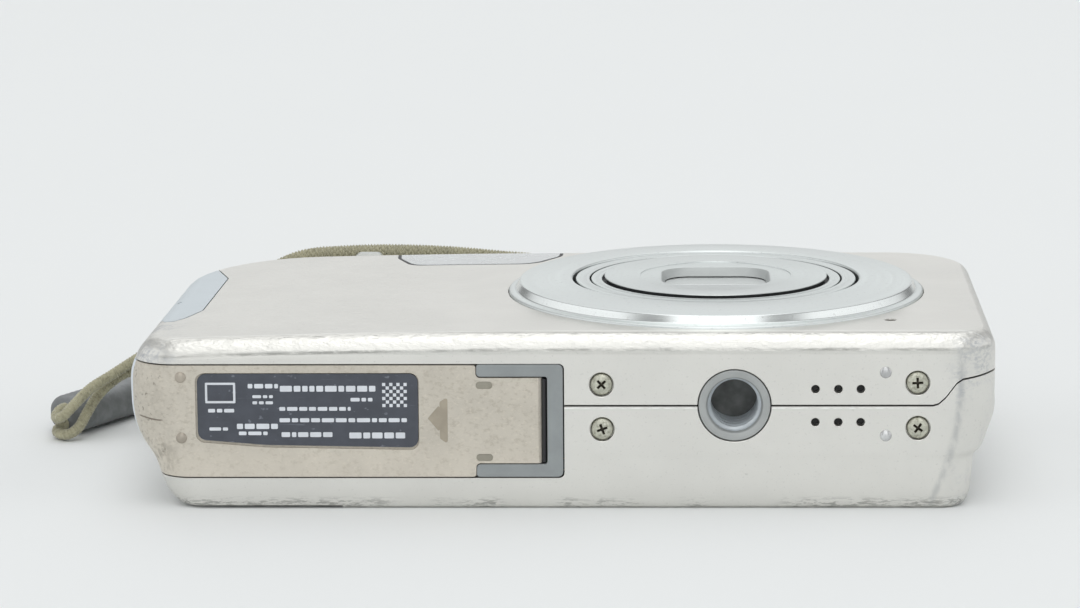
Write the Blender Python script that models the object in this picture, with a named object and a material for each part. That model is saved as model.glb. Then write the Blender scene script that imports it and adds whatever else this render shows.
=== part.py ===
"""A compact digital camera lying on its back, built as separate pieces.

Frame: +Z is the lens axis, pointing out of the front face. -Y is the camera's
underside, with the battery door and the tripod socket. +X is to the right when
the front face is seen. The origin is the centre of the base, which is the
screen side. Every size below is in millimetres, and MM turns it into metres.
"""
import math

import bmesh
import bpy
from mathutils import Vector

MM = 0.001

# ---------------------------------------------------------------- driving sizes
BODY_W = 97.2
BODY_H = 54.4
BODY_T = 20.0
WALL = 1.2
GAP = 0.3
BUTTON_RISE = 2.2

LEFT_X = -48.75
RIGHT_X = BODY_W / 2
UNDER_Y = -(BODY_H + BUTTON_RISE) / 2
TOP_Y = UNDER_Y + BODY_H
LEFT_LEAN = 1.7
CORNER_R = (5.0, 5.0, 8.0, 13.0)

# Each level of the casing: height, then how far the left side, the right side
# and the underside and top stand in from the widest outline.
CASING_LEVELS = (
    (0.0, 7.4, 5.2, 1.6),
    (0.35, 6.0, 4.2, 0.9),
    (1.15, 4.8, 3.1, 0.45),
    (2.6, 3.8, 2.7, 0.22),
    (5.4, 3.05, 2.3, 0.06),
    (7.0, 2.5, 2.0, 0.0),
    (8.45, 1.4, 1.2, 0.0),
    (10.4, 0.55, 0.4, 0.0),
    (12.4, 0.1, 0.0, 0.0),
    (18.0, 0.0, 0.0, 0.0),
    (18.9, 0.28, 0.28, 0.28),
    (19.6, 0.95, 0.95, 0.95),
    (20.0, 2.0, 2.0, 2.0),
)

SEAM_Z = 11.83
SEAM_RISE = ((41.6, 0.0), (43.0, 0.9), (44.5, 2.77), (48.1, 3.37), (60.0, 3.5))
RECESS_EDGE_X = -24.5
RECESS_DEPTH = 0.35

# Battery door, its tongue and the U-shaped bezel round the tongue
DOOR_Z = (3.65, 16.5)
DOOR_RIGHT_X = -9.35
DOOR_WRAP_Y = UNDER_Y + 6.0
TONGUE_Z = (5.2, 15.05)
TONGUE_END_X = -2.42
BEZEL_X = (-9.35, 0.35)
BEZEL_WINDOW_X = -1.42
HINGE = (-1.8, UNDER_Y + 0.4)
LABEL_X = (-40.6, -15.85)

# Underside fittings, as (x, z)
SCREWS = ((4.64, 14.22), (4.72, 9.13), (39.86, 14.39), (39.94, 9.25))
SOCKET = (19.49, 11.83)
SPEAKER_HOLE_X = (28.5, 31.05, 33.55)
SPEAKER_HOLE_Z = (9.93, 13.7)

# Lens, turned about a vertical axis at (x, y)
LENS = (17.7, UNDER_Y + 26.96)
CAM_R = 17.8
GEAR_R = 5.0
GEAR_ANGLE = math.radians(-40.0)
GEAR_DISTANCE = CAM_R + 0.35 + GEAR_R
GEAR = (LENS[0] + GEAR_DISTANCE * math.cos(GEAR_ANGLE),
        LENS[1] + GEAR_DISTANCE * math.sin(GEAR_ANGLE))
WINDOW_SIZE = (12.9, 10.0)

# Top controls, as (x, z), and rear controls, as (x, y)
SHUTTER = (-25.0, 10.5)
POWER = (-9.0, 10.5)
PAD = (-34.0, -1.0)
REAR_BUTTONS = {
    "rec_button": (-38.0, 11.5),
    "play_button": (-30.2, 11.5),
    "menu_button": (-38.0, -13.5),
    "scene_button": (-30.2, -13.5),
}
REAR_BUTTON_R = 2.3
SCREEN_X = (-17.0, 41.0)
SCREEN_Y = (-22.0, 22.0)

BATTERY_X = (-41.25, -9.85)
BATTERY_Y = (-24.6, 15.0)
BATTERY_Z = (4.5, 10.4)

PORT_Y = (-9.0, 0.0)
PORT_Z = (12.3, 15.3)
STRAP_HOLE_Y = (8.6, 16.0)
STRAP_HOLE_Z = (6.7, 12.6)

# Free strap: routes of the thin loop and of the wrist band, and the sleeve
LOOP_D = 1.4
BAND_D = 2.6
SLEEVE_FRONT = Vector((-60.8, 11.0, 2.3))
SLEEVE_DIRECTION = Vector((0.48, 0.877, 0.0)).normalized()
SLEEVE_LENGTH = 21.5
LOOP_ROUTE = (
    (-60.95, 10.7, 3.2), (-61.5, 9.3, 3.2), (-61.8, 7.9, 2.9), (-61.5, 6.4, 2.8),
    (-60.6, 5.7, 3.3), (-59.5, 6.3, 4.4), (-57.7, 8.5, 6.0), (-55.5, 10.2, 7.2),
    (-53.0, 11.2, 8.7), (-49.8, 11.9, 10.6), (-47.0, 12.1, 11.4), (-45.3, 12.2, 11.1),
    (-44.4, 12.3, 9.7), (-45.3, 12.5, 8.2), (-47.0, 12.8, 7.8), (-50.2, 12.8, 7.9),
    (-53.6, 12.4, 7.2), (-55.7, 11.8, 6.0), (-57.2, 10.3, 4.6), (-58.2, 8.5, 3.0),
    (-59.0, 7.0, 1.6), (-60.1, 6.2, 0.9), (-61.3, 6.9, 0.8), (-61.8, 8.4, 0.95),
    (-60.95, 10.7, 1.4),
)
BAND_ROUTE = (
    (-48.93, 29.61, 2.3), (-48.3, 31.0, 2.4), (-46.9, 32.4, 3.1), (-45.0, 33.0, 4.9),
    (-43.2, 32.9, 7.6), (-41.4, 32.4, 10.8), (-39.2, 31.8, 14.0), (-36.6, 31.2, 16.5),
    (-33.2, 30.8, 17.9), (-29.0, 30.4, 18.4), (-23.0, 30.3, 18.6), (-16.0, 30.3, 18.4),
    (-9.0, 30.3, 17.8), (-3.0, 30.4, 17.1), (6.0, 30.8, 14.8), (15.0, 31.4, 11.0),
    (24.0, 32.2, 6.4), (31.0, 33.0, 3.0), (37.0, 33.8, 1.5), (42.0, 34.6, 1.4),
    (45.6, 37.0, 1.4), (46.0, 40.8, 1.4), (43.0, 43.6, 1.4), (37.0, 44.2, 1.4),
    (26.0, 43.6, 1.4), (12.0, 42.6, 1.4), (-4.0, 41.8, 1.4), (-20.0, 40.8, 1.4),
    (-32.0, 39.4, 1.4), (-40.0, 37.8, 1.4), (-46.5, 35.8, 1.5), (-50.5, 33.4, 1.9),
    (-51.48, 31.01, 2.3),
)

COLOURS = {
    "silver": ((0.62, 0.61, 0.58), 0.32, 0.7),
    "champagne": ((0.55, 0.48, 0.38), 0.4, 0.5),
    "slate": ((0.25, 0.27, 0.30), 0.45, 0.0),
    "label": ((0.04, 0.045, 0.06), 0.5, 0.0),
    "trim": ((0.56, 0.60, 0.66), 0.35, 0.3),
    "aluminium": ((0.70, 0.72, 0.73), 0.25, 1.0),
    "steel": ((0.50, 0.48, 0.42), 0.3, 1.0),
    "black": ((0.02, 0.02, 0.022), 0.5, 0.0),
    "glass": ((0.80, 0.85, 0.88), 0.05, 0.0),
    "board": ((0.02, 0.16, 0.07), 0.5, 0.0),
    "battery": ((0.10, 0.11, 0.13), 0.5, 0.0),
    "khaki": ((0.25, 0.22, 0.14), 0.9, 0.0),
    "grey": ((0.13, 0.14, 0.16), 0.6, 0.0),
}


# ---------------------------------------------------------------- small helpers
def clear_scene():
    for obj in list(bpy.data.objects):
        bpy.data.objects.remove(obj, do_unlink=True)


def material(name):
    found = bpy.data.materials.get(name)
    if found:
        return found
    colour, roughness, metallic = COLOURS[name]
    new = bpy.data.materials.new(name)
    new.use_nodes = True
    shader = new.node_tree.nodes["Principled BSDF"]
    shader.inputs["Base Color"].default_value = (*colour, 1.0)
    shader.inputs["Roughness"].default_value = roughness
    shader.inputs["Metallic"].default_value = metallic
    return new


def add_object(name, bm, finish):
    """Turn a bmesh in millimetres into a named object in metres."""
    bmesh.ops.remove_doubles(bm, verts=bm.verts, dist=1e-5)
    bmesh.ops.recalc_face_normals(bm, faces=bm.faces)
    bmesh.ops.scale(bm, vec=(MM, MM, MM), verts=bm.verts)
    mesh = bpy.data.meshes.new(name)
    bm.to_mesh(mesh)
    bm.free()
    mesh.materials.append(material(finish))
    mesh.shade_smooth()
    mesh.set_sharp_from_angle(angle=math.radians(35.0))
    obj = bpy.data.objects.new(name, mesh)
    bpy.context.collection.objects.link(obj)
    return obj


def along(axis, a, b, h):
    """Place outline point (a, b) at distance h along the named axis."""
    if axis == "Z":
        return (a, b, h)
    if axis == "Y":
        return (a, h, b)
    return (h, a, b)


def rounded_outline(corners, radii, steps=5):
    """Round each corner of a convex or concave outline with a tangent arc."""
    points = []
    count = len(corners)
    for i, corner in enumerate(corners):
        here = Vector(corner)
        to_last = (Vector(corners[i - 1]) - here).normalized()
        to_next = (Vector(corners[(i + 1) % count]) - here).normalized()
        radius = radii[i] if isinstance(radii, (list, tuple)) else radii
        if radius <= 0.0:
            points.append(tuple(here))
            continue
        half = to_last.angle(to_next) / 2
        reach = radius / math.tan(half)
        centre = here + (to_last + to_next).normalized() * (radius / math.sin(half))
        start = here + to_last * reach - centre
        turn = start.angle_signed(here + to_next * reach - centre)
        for k in range(steps + 1):
            angle = -turn * k / steps
            cos_a, sin_a = math.cos(angle), math.sin(angle)
            points.append((centre.x + start.x * cos_a - start.y * sin_a,
                           centre.y + start.x * sin_a + start.y * cos_a))
    return points


def rectangle(x_range, y_range, radius=0.0, steps=4):
    corners = ((x_range[0], y_range[0]), (x_range[1], y_range[0]),
               (x_range[1], y_range[1]), (x_range[0], y_range[1]))
    return rounded_outline(corners, radius, steps)


def circle(centre, radius, segments=24):
    return [(centre[0] + radius * math.cos(2 * math.pi * k / segments),
             centre[1] + radius * math.sin(2 * math.pi * k / segments))
            for k in range(segments)]


def loft_bmesh(sections):
    """Skin a stack of outlines that all have the same number of points."""
    bm = bmesh.new()
    rings = [[bm.verts.new(point) for point in section] for section in sections]
    count = len(rings[0])
    for low, high in zip(rings, rings[1:]):
        for k in range(count):
            bm.faces.new((low[k], low[(k + 1) % count], high[(k + 1) % count], high[k]))
    bm.faces.new(list(reversed(rings[0])))
    bm.faces.new(rings[-1])
    return bm


def prism_bmesh(outline, low, high, axis="Z"):
    return loft_bmesh([[along(axis, a, b, h) for a, b in outline] for h in (low, high)])


def prism(name, outline, low, high, finish, axis="Z"):
    return add_object(name, prism_bmesh(outline, low, high, axis), finish)


def lathe_bmesh(profile, centre, axis="Z", segments=40):
    """Turn a closed profile of (radius, height) points about an axis."""
    bm = bmesh.new()
    rings = []
    for radius, height in profile:
        if radius < 1e-6:
            rings.append([bm.verts.new(along(axis, centre[0], centre[1], height))])
            continue
        rings.append([bm.verts.new(along(axis, a, b, height))
                      for a, b in circle(centre, radius, segments)])
    for ring, following in zip(rings, rings[1:] + rings[:1]):
        if len(ring) == 1 and len(following) == 1:
            continue
        for k in range(segments):
            corners = [ring[k % len(ring)], ring[(k + 1) % len(ring)],
                       following[(k + 1) % len(following)], following[k % len(following)]]
            bm.faces.new(list(dict.fromkeys(corners)))
    return bm


def lathe(name, profile, centre, finish, axis="Z", segments=40):
    return add_object(name, lathe_bmesh(profile, centre, axis, segments), finish)


def carve(target, tool, operation="DIFFERENCE"):
    """Cut the target with the tool's solid, keep the result and drop the tool."""
    modifier = target.modifiers.new("carve", "BOOLEAN")
    modifier.operation = operation
    modifier.object = tool
    bpy.context.view_layer.update()
    graph = bpy.context.evaluated_depsgraph_get()
    result = bpy.data.meshes.new_from_object(target.evaluated_get(graph))
    target.modifiers.clear()
    target.data = result
    bpy.data.objects.remove(tool, do_unlink=True)
    result.shade_smooth()
    result.set_sharp_from_angle(angle=math.radians(35.0))
    return target


def tool(bm):
    made = add_object("cutter", bm, "grey")
    made.hide_render = True
    made.display_type = "WIRE"
    return made


def cut_prism(target, outline, low, high, axis="Z", operation="DIFFERENCE"):
    return carve(target, tool(prism_bmesh(outline, low, high, axis)), operation)


# ---------------------------------------------------------------- casing
def casing_sections(inset):
    """Outlines of the casing at each level, all moved inwards by the inset."""
    sections = []
    squeeze = (BODY_T - 2 * inset) / BODY_T
    for z, left, right, face in CASING_LEVELS:
        left_x = LEFT_X + left + inset
        right_x = RIGHT_X - right - inset
        low_y = UNDER_Y + face + inset
        high_y = TOP_Y - face - inset
        corners = ((left_x, low_y), (right_x, low_y), (right_x, high_y),
                   (left_x + LEFT_LEAN, high_y))
        shrink = inset + max(left, right, face) * 0.4
        radii = [max(r - shrink, 1.6) for r in CORNER_R]
        height = inset + z * squeeze
        sections.append([(x, y, height) for x, y in rounded_outline(corners, radii, 6)])
    return sections


def casing_shell(name, finish):
    shell = add_object(name, loft_bmesh(casing_sections(0.0)), finish)
    return carve(shell, tool(loft_bmesh(casing_sections(WALL))))


def seam_outline(shift, far_z):
    """The side-on outline of everything on one side of the cover seam."""
    seam = [(-60.0, SEAM_Z + shift)]
    seam += [(x, SEAM_Z + rise + shift) for x, rise in SEAM_RISE]
    return seam + [(60.0, far_z), (-60.0, far_z)]


def door_outline(gap):
    return rounded_outline(
        ((-60.0, DOOR_Z[0] + gap), (DOOR_RIGHT_X - gap, DOOR_Z[0] + gap),
         (DOOR_RIGHT_X - gap, TONGUE_Z[0] + gap), (TONGUE_END_X, TONGUE_Z[0] + gap),
         (TONGUE_END_X, TONGUE_Z[1] - gap), (DOOR_RIGHT_X - gap, TONGUE_Z[1] - gap),
         (DOOR_RIGHT_X - gap, DOOR_Z[1] - gap), (-60.0, DOOR_Z[1] - gap)),
        (0.0, 0.3, 0.5, 0.3, 0.3, 0.5, 0.3, 0.0), 2)


def trim_outline(gap):
    """Plan of the leaf-shaped grip trim, which runs off the left side."""
    corners = ((-60.0, -17.2 - gap), (-45.2, -17.2 - gap), (-41.9 + gap, -10.6),
               (-40.9 + gap, 9.7), (-41.9 + gap, 16.2 + gap), (-60.0, 16.2 + gap))
    return rounded_outline(corners, (0.0, 1.2, 3.0, 1.5, 1.0, 0.0), 4)


def flash_outline(gap):
    corners = ((-21.2 - gap, 40.0), (-21.2 - gap, 15.4 - gap),
               (0.5 + gap, 15.4 - gap), (0.5 + gap, 40.0))
    return rounded_outline(corners, (0.0, 5.0, 5.0, 0.0), 6)


def cut_underside_fittings(cover, speaker_z):
    """Screw seats, the tripod hole and one row of speaker holes."""
    for x, z in SCREWS:
        cut_prism(cover, circle((x, z), 1.0, 12), UNDER_Y - 1, UNDER_Y + 2, "Y")
        cut_prism(cover, circle((x, z), 1.63, 20), UNDER_Y - 1, UNDER_Y + 0.95, "Y")
    cut_prism(cover, circle(SOCKET, 4.35, 28), UNDER_Y - 1, UNDER_Y + 2, "Y")
    for x in SPEAKER_HOLE_X:
        cut_prism(cover, circle((x, speaker_z), 0.48, 8), UNDER_Y - 1, UNDER_Y + 2, "Y")


def cut_side_openings(cover):
    """The battery door's opening, the strap hole and the port's opening."""
    cut_prism(cover, rectangle((-60.0, BEZEL_X[1] + GAP), (DOOR_Z[0] - 0.15, DOOR_Z[1] + 0.2)),
              UNDER_Y - 2, DOOR_WRAP_Y + GAP, "Y")
    cut_prism(cover, rectangle(STRAP_HOLE_Y, STRAP_HOLE_Z, 1.2), -52.0, -43.9, "X")
    cut_prism(cover, rectangle((PORT_Y[0] - GAP, PORT_Y[1] + GAP),
                               (PORT_Z[0] - GAP, PORT_Z[1] + GAP), 0.6), -52.0, -45.5, "X")


def cut_top_openings(cover):
    cut_prism(cover, circle(SHUTTER, 5.0, 24), TOP_Y - 3, TOP_Y + 2, "Y")
    cut_prism(cover, circle(POWER, 2.9, 20), TOP_Y - 3, TOP_Y + 2, "Y")


def front_cover():
    cover = casing_shell("front_cover", "silver")
    cut_prism(cover, seam_outline(0.15, 40.0), -60.0, 60.0, "Y", "INTERSECT")
    cut_prism(cover, trim_outline(GAP), SEAM_Z - 5, 40.0)
    cut_prism(cover, flash_outline(GAP), 17.3, 40.0)
    cut_prism(cover, circle(LENS, 24.6, 48), 19.5, 40.0)
    cut_prism(cover, circle(LENS, 19.6, 48), 15.0, 40.0)
    cut_prism(cover, circle((37.2, UNDER_Y + 8.1), 0.45, 8), 15.0, 40.0)
    cut_side_openings(cover)
    cut_top_openings(cover)
    cut_underside_fittings(cover, SPEAKER_HOLE_Z[1])


def rear_cover():
    cover = casing_shell("rear_cover", "silver")
    cut_prism(cover, seam_outline(-0.15, -20.0), -60.0, 60.0, "Y", "INTERSECT")
    cut_prism(cover, rectangle((-60.0, RECESS_EDGE_X), (-60.0, 60.0)), -2.0, RECESS_DEPTH)
    cut_prism(cover, rectangle((SCREEN_X[0] - GAP, SCREEN_X[1] + GAP),
                               (SCREEN_Y[0] - GAP, SCREEN_Y[1] + GAP), 1.5), -2.0, 3.0)
    for x, y in REAR_BUTTONS.values():
        cut_prism(cover, circle((x, y), REAR_BUTTON_R + GAP, 20), -2.0, 3.0)
    cut_prism(cover, circle(PAD, 7.2 + GAP, 28), -2.0, 3.0)
    cut_side_openings(cover)
    cut_top_openings(cover)
    cut_underside_fittings(cover, SPEAKER_HOLE_Z[0])


def side_trim():
    trim = casing_shell("side_trim", "trim")
    cut_prism(trim, seam_outline(0.15, 40.0), -60.0, 60.0, "Y", "INTERSECT")
    cut_prism(trim, trim_outline(0.0), 0.0, 40.0, "Z", "INTERSECT")
    cut_side_openings(trim)


def flash_window():
    window = casing_shell("flash_window", "glass")
    cut_prism(window, flash_outline(0.0), 17.6, 40.0, "Z", "INTERSECT")


# ---------------------------------------------------------------- battery door
def battery_door():
    door = casing_shell("battery_door", "champagne")
    cut_prism(door, door_outline(0.15), UNDER_Y - 2, DOOR_WRAP_Y, "Y", "INTERSECT")
    cut_prism(door, label_outline(GAP), UNDER_Y - 2, UNDER_Y + 0.55, "Y")


def label_outline(grow):
    corners = ((LABEL_X[0] - grow, 7.98 - grow), (LABEL_X[1] + grow, 7.05 - grow),
               (LABEL_X[1] + grow, 15.5 + grow), (LABEL_X[0] - grow, 15.5 + grow))
    return rounded_outline(corners, 1.1, 4)


def door_fittings():
    prism("label_plate", label_outline(0.0), UNDER_Y + 0.03, UNDER_Y + 0.25, "label", "Y")
    bezel = prism("door_bezel", rectangle(BEZEL_X, (3.66, 16.54), 0.4), UNDER_Y + 0.05,
                  UNDER_Y + WALL, "slate", "Y")
    window = rectangle((-20.0, BEZEL_WINDOW_X), (TONGUE_Z[0] - 0.05, TONGUE_Z[1] + 0.1), 0.3)
    cut_prism(bezel, window, UNDER_Y - 2, UNDER_Y + 4, "Y")
    bead = [(HINGE[0] + 0.28 * math.sin(a), HINGE[1] - 0.28 * math.cos(a))
            for a in (math.radians(20 * k - 140) for k in range(15))]
    plate = [(HINGE[0] + 0.15, UNDER_Y + 2.0), (-9.0, UNDER_Y + 2.0), (-9.0, UNDER_Y + 1.5),
             (HINGE[0] - 0.15, UNDER_Y + 1.5)]
    prism("door_hinge_plate", plate + bead, TONGUE_Z[0] + 0.15, TONGUE_Z[1] - 0.2, "steel")


# ---------------------------------------------------------------- underside
def bottom_screws():
    for number, (x, z) in enumerate(SCREWS, 1):
        head = UNDER_Y + 0.1
        profile = ((0.0, head), (1.1, head), (1.32, head + 0.22), (1.32, head + 0.6),
                   (0.7, head + 0.75), (0.7, UNDER_Y + 4.2), (0.0, UNDER_Y + 4.6))
        screw = lathe(f"bottom_screw_{number}", profile, (x, z), "steel", "Y", 14)
        for length, width in ((0.8, 0.18), (0.18, 0.8)):
            slot = rectangle((x - length, x + length), (z - width, z + width))
            cut_prism(screw, slot, UNDER_Y - 1, head + 0.35, "Y")


def tripod_socket():
    mouth = UNDER_Y + 0.15
    profile = ((3.15, mouth + 0.7), (3.6, mouth), (4.05, mouth), (4.05, mouth + 6.9),
               (0.0, mouth + 6.9), (0.0, mouth + 5.9), (3.15, mouth + 5.9))
    lathe("tripod_socket", profile, SOCKET, "steel", "Y", 32)


def bottom_bracket():
    low = UNDER_Y + 5.1
    bracket = prism("bottom_bracket", rectangle((1.0, 43.0), (5.2, 17.0), 1.0), low, low + 0.7,
                    "steel", "Y")
    cut_prism(bracket, circle(SOCKET, 4.4, 32), low - 1, low + 2, "Y")


def speaker():
    prism("speaker", rectangle((25.5, 36.5), (8.2, 15.4), 1.5), UNDER_Y + 1.6, UNDER_Y + 4.4,
          "black", "Y")


# ---------------------------------------------------------------- lens
def lens_bezel():
    profile = ((24.24, 19.8), (24.24, 20.4), (23.9, 20.7), (22.95, 20.75), (22.2, 21.55),
               (21.9, 21.6), (17.35, 21.6), (17.05, 21.3), (17.05, 18.9), (19.2, 18.9),
               (19.2, 19.8))
    lathe("lens_bezel", profile, LENS, "aluminium", segments=48)


def lens_drive():
    housing = lathe("lens_housing", ((19.1, 4.9), (19.1, 18.6), (18.1, 18.6), (18.1, 5.7),
                                     (6.0, 5.7), (6.0, 4.9)), LENS, "black")
    side = (math.sin(GEAR_ANGLE), -math.cos(GEAR_ANGLE))
    out = (math.cos(GEAR_ANGLE), math.sin(GEAR_ANGLE))
    slot = [(LENS[0] + out[0] * r + side[0] * w, LENS[1] + out[1] * r + side[1] * w)
            for r, w in ((16.9, 4.0), (21.0, 4.0), (21.0, -4.0), (16.9, -4.0))]
    cut_prism(housing, slot, 6.5, 9.9)
    lathe("cam_ring", ((CAM_R, 6.1), (CAM_R, 18.4), (16.6, 18.4), (16.6, 6.1)), LENS, "grey")
    teeth = 16
    outline = []
    for k in range(teeth * 4):
        radius = GEAR_R if k % 4 < 2 else GEAR_R - 0.5
        angle = 2 * math.pi * (k + 0.5) / (teeth * 4)
        outline.append((GEAR[0] + radius * math.cos(angle), GEAR[1] + radius * math.sin(angle)))
    prism("zoom_gear", outline, 7.0, 9.4, "grey")
    lathe("zoom_motor", ((0.0, 9.7), (3.5, 9.7), (3.5, 16.5), (0.0, 16.5)), GEAR, "steel",
          segments=28)


def lens_barrels():
    tubes = (("barrel_outer", 16.2, 15.1, 14.85, 6.6, 21.25),
             ("barrel_middle", 14.55, 14.0, 13.75, 7.0, 21.25))
    for name, outer, inner, lip, low, high in tubes:
        profile = ((outer, low), (outer, high), (lip, high), (lip, high - 0.6),
                   (inner, high - 0.6), (inner, low))
        lathe(name, profile, LENS, "aluminium")
    lathe("barrel_inner", ((13.45, 7.4), (13.45, 20.95), (12.7, 20.95), (12.7, 7.4)), LENS,
          "black")
    lathe("lens_carrier", ((12.68, 16.6), (12.68, 17.4), (6.9, 17.4), (6.9, 16.6)), LENS,
          "black")
    cap = lathe("lens_front_cap", ((0.0, 20.95), (12.4, 20.95), (12.4, 21.25), (13.05, 21.25),
                                   (13.05, 21.75), (8.85, 21.75), (8.8, 21.6), (0.0, 21.6)),
                LENS, "aluminium")
    half_w, half_h = WINDOW_SIZE[0] / 2, WINDOW_SIZE[1] / 2
    cut_prism(cap, rectangle((LENS[0] - half_w, LENS[0] + half_w),
                             (LENS[1] - half_h, LENS[1] + half_h), 4.6, 6), 20.0, 23.0)


def barrier_blades():
    """Two blades that meet on the lens's centre line and part to either side."""
    width, depth, travel, clear_r = 7.5, 6.2, 5.2, 12.3
    arc_x = [width * math.cos(math.pi * k / 8) for k in range(9)]
    for name, side in (("barrier_blade_far", 1), ("barrier_blade_near", -1)):
        back = [min(depth, math.sqrt(clear_r ** 2 - x ** 2) - travel) for x in arc_x]
        foot = LENS[1] + side * 0.12
        outline = [(LENS[0] - width, foot), (LENS[0] + width, foot)]
        outline += [(LENS[0] + x, LENS[1] + side * y) for x, y in zip(arc_x, back)]
        prism(name, outline, 20.15, 20.55, "silver")


def lens_optics():
    lathe("front_lens", ((0.0, 16.8), (6.5, 16.8), (6.5, 18.6), (5.0, 19.2), (2.6, 19.6),
                         (0.0, 19.7)), LENS, "glass", segments=32)
    lathe("shutter_unit", ((12.3, 12.4), (12.3, 16.2), (4.0, 16.2), (4.0, 12.4)), LENS, "black",
          segments=40)
    lathe("rear_lens", ((0.0, 7.2), (6.0, 7.2), (6.0, 9.6), (3.6, 10.3), (0.0, 10.6)), LENS,
          "glass", segments=28)
    prism("image_sensor", rectangle((LENS[0] - 4.0, LENS[0] + 4.0),
                                    (LENS[1] - 3.2, LENS[1] + 3.2)), 4.85, 6.0, "black")


# ---------------------------------------------------------------- inside the body
def power_parts():
    case = prism("battery_case", rectangle((BATTERY_X[0] - 0.95, BATTERY_X[1] + 0.95),
                                           (BATTERY_Y[0] - 0.8, BATTERY_Y[1] + 1.1)),
                 BATTERY_Z[0] - 1.05, BATTERY_Z[1] + 1.05, "black")
    cut_prism(case, rectangle((BATTERY_X[0] - GAP, BATTERY_X[1] + GAP),
                              (BATTERY_Y[0] - 5, BATTERY_Y[1] + 0.45)),
              BATTERY_Z[0] - 0.35, BATTERY_Z[1] + 0.35)
    prism("battery", rectangle(BATTERY_X, BATTERY_Z, 1.2), BATTERY_Y[0], BATTERY_Y[1],
          "battery", "Y")
    nose = [(-11.5, UNDER_Y + 2.2), (-7.6, UNDER_Y + 2.2), (-7.6, UNDER_Y + 10.3),
            (-8.5, UNDER_Y + 10.3), (-8.5, UNDER_Y + 2.6), (-11.5, UNDER_Y + 2.6)]
    prism("battery_catch", nose, 6.0, 9.0, "slate")
    lathe("flash_capacitor", ((0.0, 2.0), (3.0, 2.0), (3.0, 28.0), (0.0, 28.0)), (21.4, 12.0),
          "black", "X", 24)


def card_parts():
    socket = prism("card_socket", rectangle((-38.6, -12.4), (-19.0, 10.0)), 11.75, 14.95, "steel")
    cut_prism(socket, rectangle((-37.9, -13.1), (-24.0, 9.0)), 12.0, 14.7)
    corners = ((-37.5, -23.4), (-13.5, -23.4), (-13.5, 8.6), (-34.0, 8.6), (-37.5, 5.1))
    prism("memory_card", corners, 12.3, 14.4, "slate")


def boards():
    prism("main_board", rectangle((-7.9, 43.5), (-25.2, 23.3), 1.5), 3.7, 4.5, "board")
    prism("control_board", rectangle((-40.6, -25.6), (-17.0, 15.0), 1.0), 2.35, 2.95, "board")
    prism("top_board", rectangle((-33.0, -6.0), (5.5, 13.0), 0.8), TOP_Y - 4.2, TOP_Y - 3.4,
          "board", "Y")


def screen():
    prism("lcd_window", rectangle(SCREEN_X, SCREEN_Y, 1.2), 0.3, 1.3, "glass")
    prism("lcd_panel", rectangle((-15.0, 39.0), (-20.5, 20.5)), 1.65, 3.1, "black")


def flash_parts():
    unit = prism("flash_reflector", rectangle((-19.5, -1.5), (17.3, 23.3)), 13.5, 18.2,
                 "aluminium")
    cut_prism(unit, circle((20.3, 18.2), 2.7, 24), -18.9, -2.1, "X")
    lathe("flash_tube", ((0.0, -18.5), (0.9, -18.5), (0.9, -2.5), (0.0, -2.5)), (20.3, 16.8),
          "glass", "X", 14)


def sound_and_port():
    lathe("microphone", ((0.0, 16.9), (2.0, 16.9), (2.0, 18.4), (0.0, 18.4)),
          (37.2, UNDER_Y + 8.1), "steel", segments=16)
    port = prism("usb_port", rectangle(PORT_Y, PORT_Z, 0.5), -47.4, -41.0, "steel", "X")
    cut_prism(port, rectangle((PORT_Y[0] + 0.6, PORT_Y[1] - 0.6),
                              (PORT_Z[0] + 0.5, PORT_Z[1] - 0.5)), -50.0, -42.0, "X")


# ---------------------------------------------------------------- controls
def top_controls():
    rim = TOP_Y + GAP
    profile = ((7.6, rim), (7.6, rim + 1.2), (7.3, rim + 1.5), (5.4, rim + 1.5),
               (5.1, rim + 1.2), (5.1, rim + 0.35), (3.4, rim + 0.35), (3.4, TOP_Y - 2.3),
               (4.6, TOP_Y - 2.3), (4.6, rim))
    lever = lathe("zoom_lever", profile, SHUTTER, "aluminium", "Y", 28)
    x, z = SHUTTER
    nub = rounded_outline(((x - 2.2, z + 6.2), (x + 2.2, z + 6.2), (x + 1.7, z + 8.8),
                           (x - 1.7, z + 8.8)), (0.0, 0.0, 0.9, 0.9), 3)
    carve(lever, tool(prism_bmesh(nub, rim + 0.1, rim + 1.4, "Y")), "UNION")
    top = TOP_Y + BUTTON_RISE
    lathe("shutter_button", ((0.0, top), (3.8, top), (4.6, top - 0.3), (4.6, top - 0.75),
                             (2.6, top - 0.75), (2.6, TOP_Y - 2.7), (0.0, TOP_Y - 2.7)),
          SHUTTER, "aluminium", "Y", 24)
    lathe("power_button", ((0.0, TOP_Y - 0.1), (2.3, TOP_Y - 0.1), (2.6, TOP_Y - 0.4),
                           (2.6, TOP_Y - 2.7), (0.0, TOP_Y - 2.7)), POWER, "aluminium", "Y", 24)


def rear_controls():
    low, high = RECESS_DEPTH + 0.03, 1.85
    for name, (x, y) in REAR_BUTTONS.items():
        profile = ((0.0, low), (REAR_BUTTON_R - 0.2, low), (REAR_BUTTON_R, low + 0.2),
                   (REAR_BUTTON_R, high), (0.0, high))
        lathe(name, profile, (x, y), "silver", segments=20)
    lathe("control_pad", ((7.0, low), (7.2, low + 0.2), (7.2, high), (3.9, high),
                          (3.9, low + 0.2), (4.1, low)), PAD, "silver", segments=28)
    lathe("set_button", ((0.0, low), (3.3, low), (3.5, low + 0.2), (3.5, high), (0.0, high)),
          PAD, "silver", segments=24)


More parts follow.
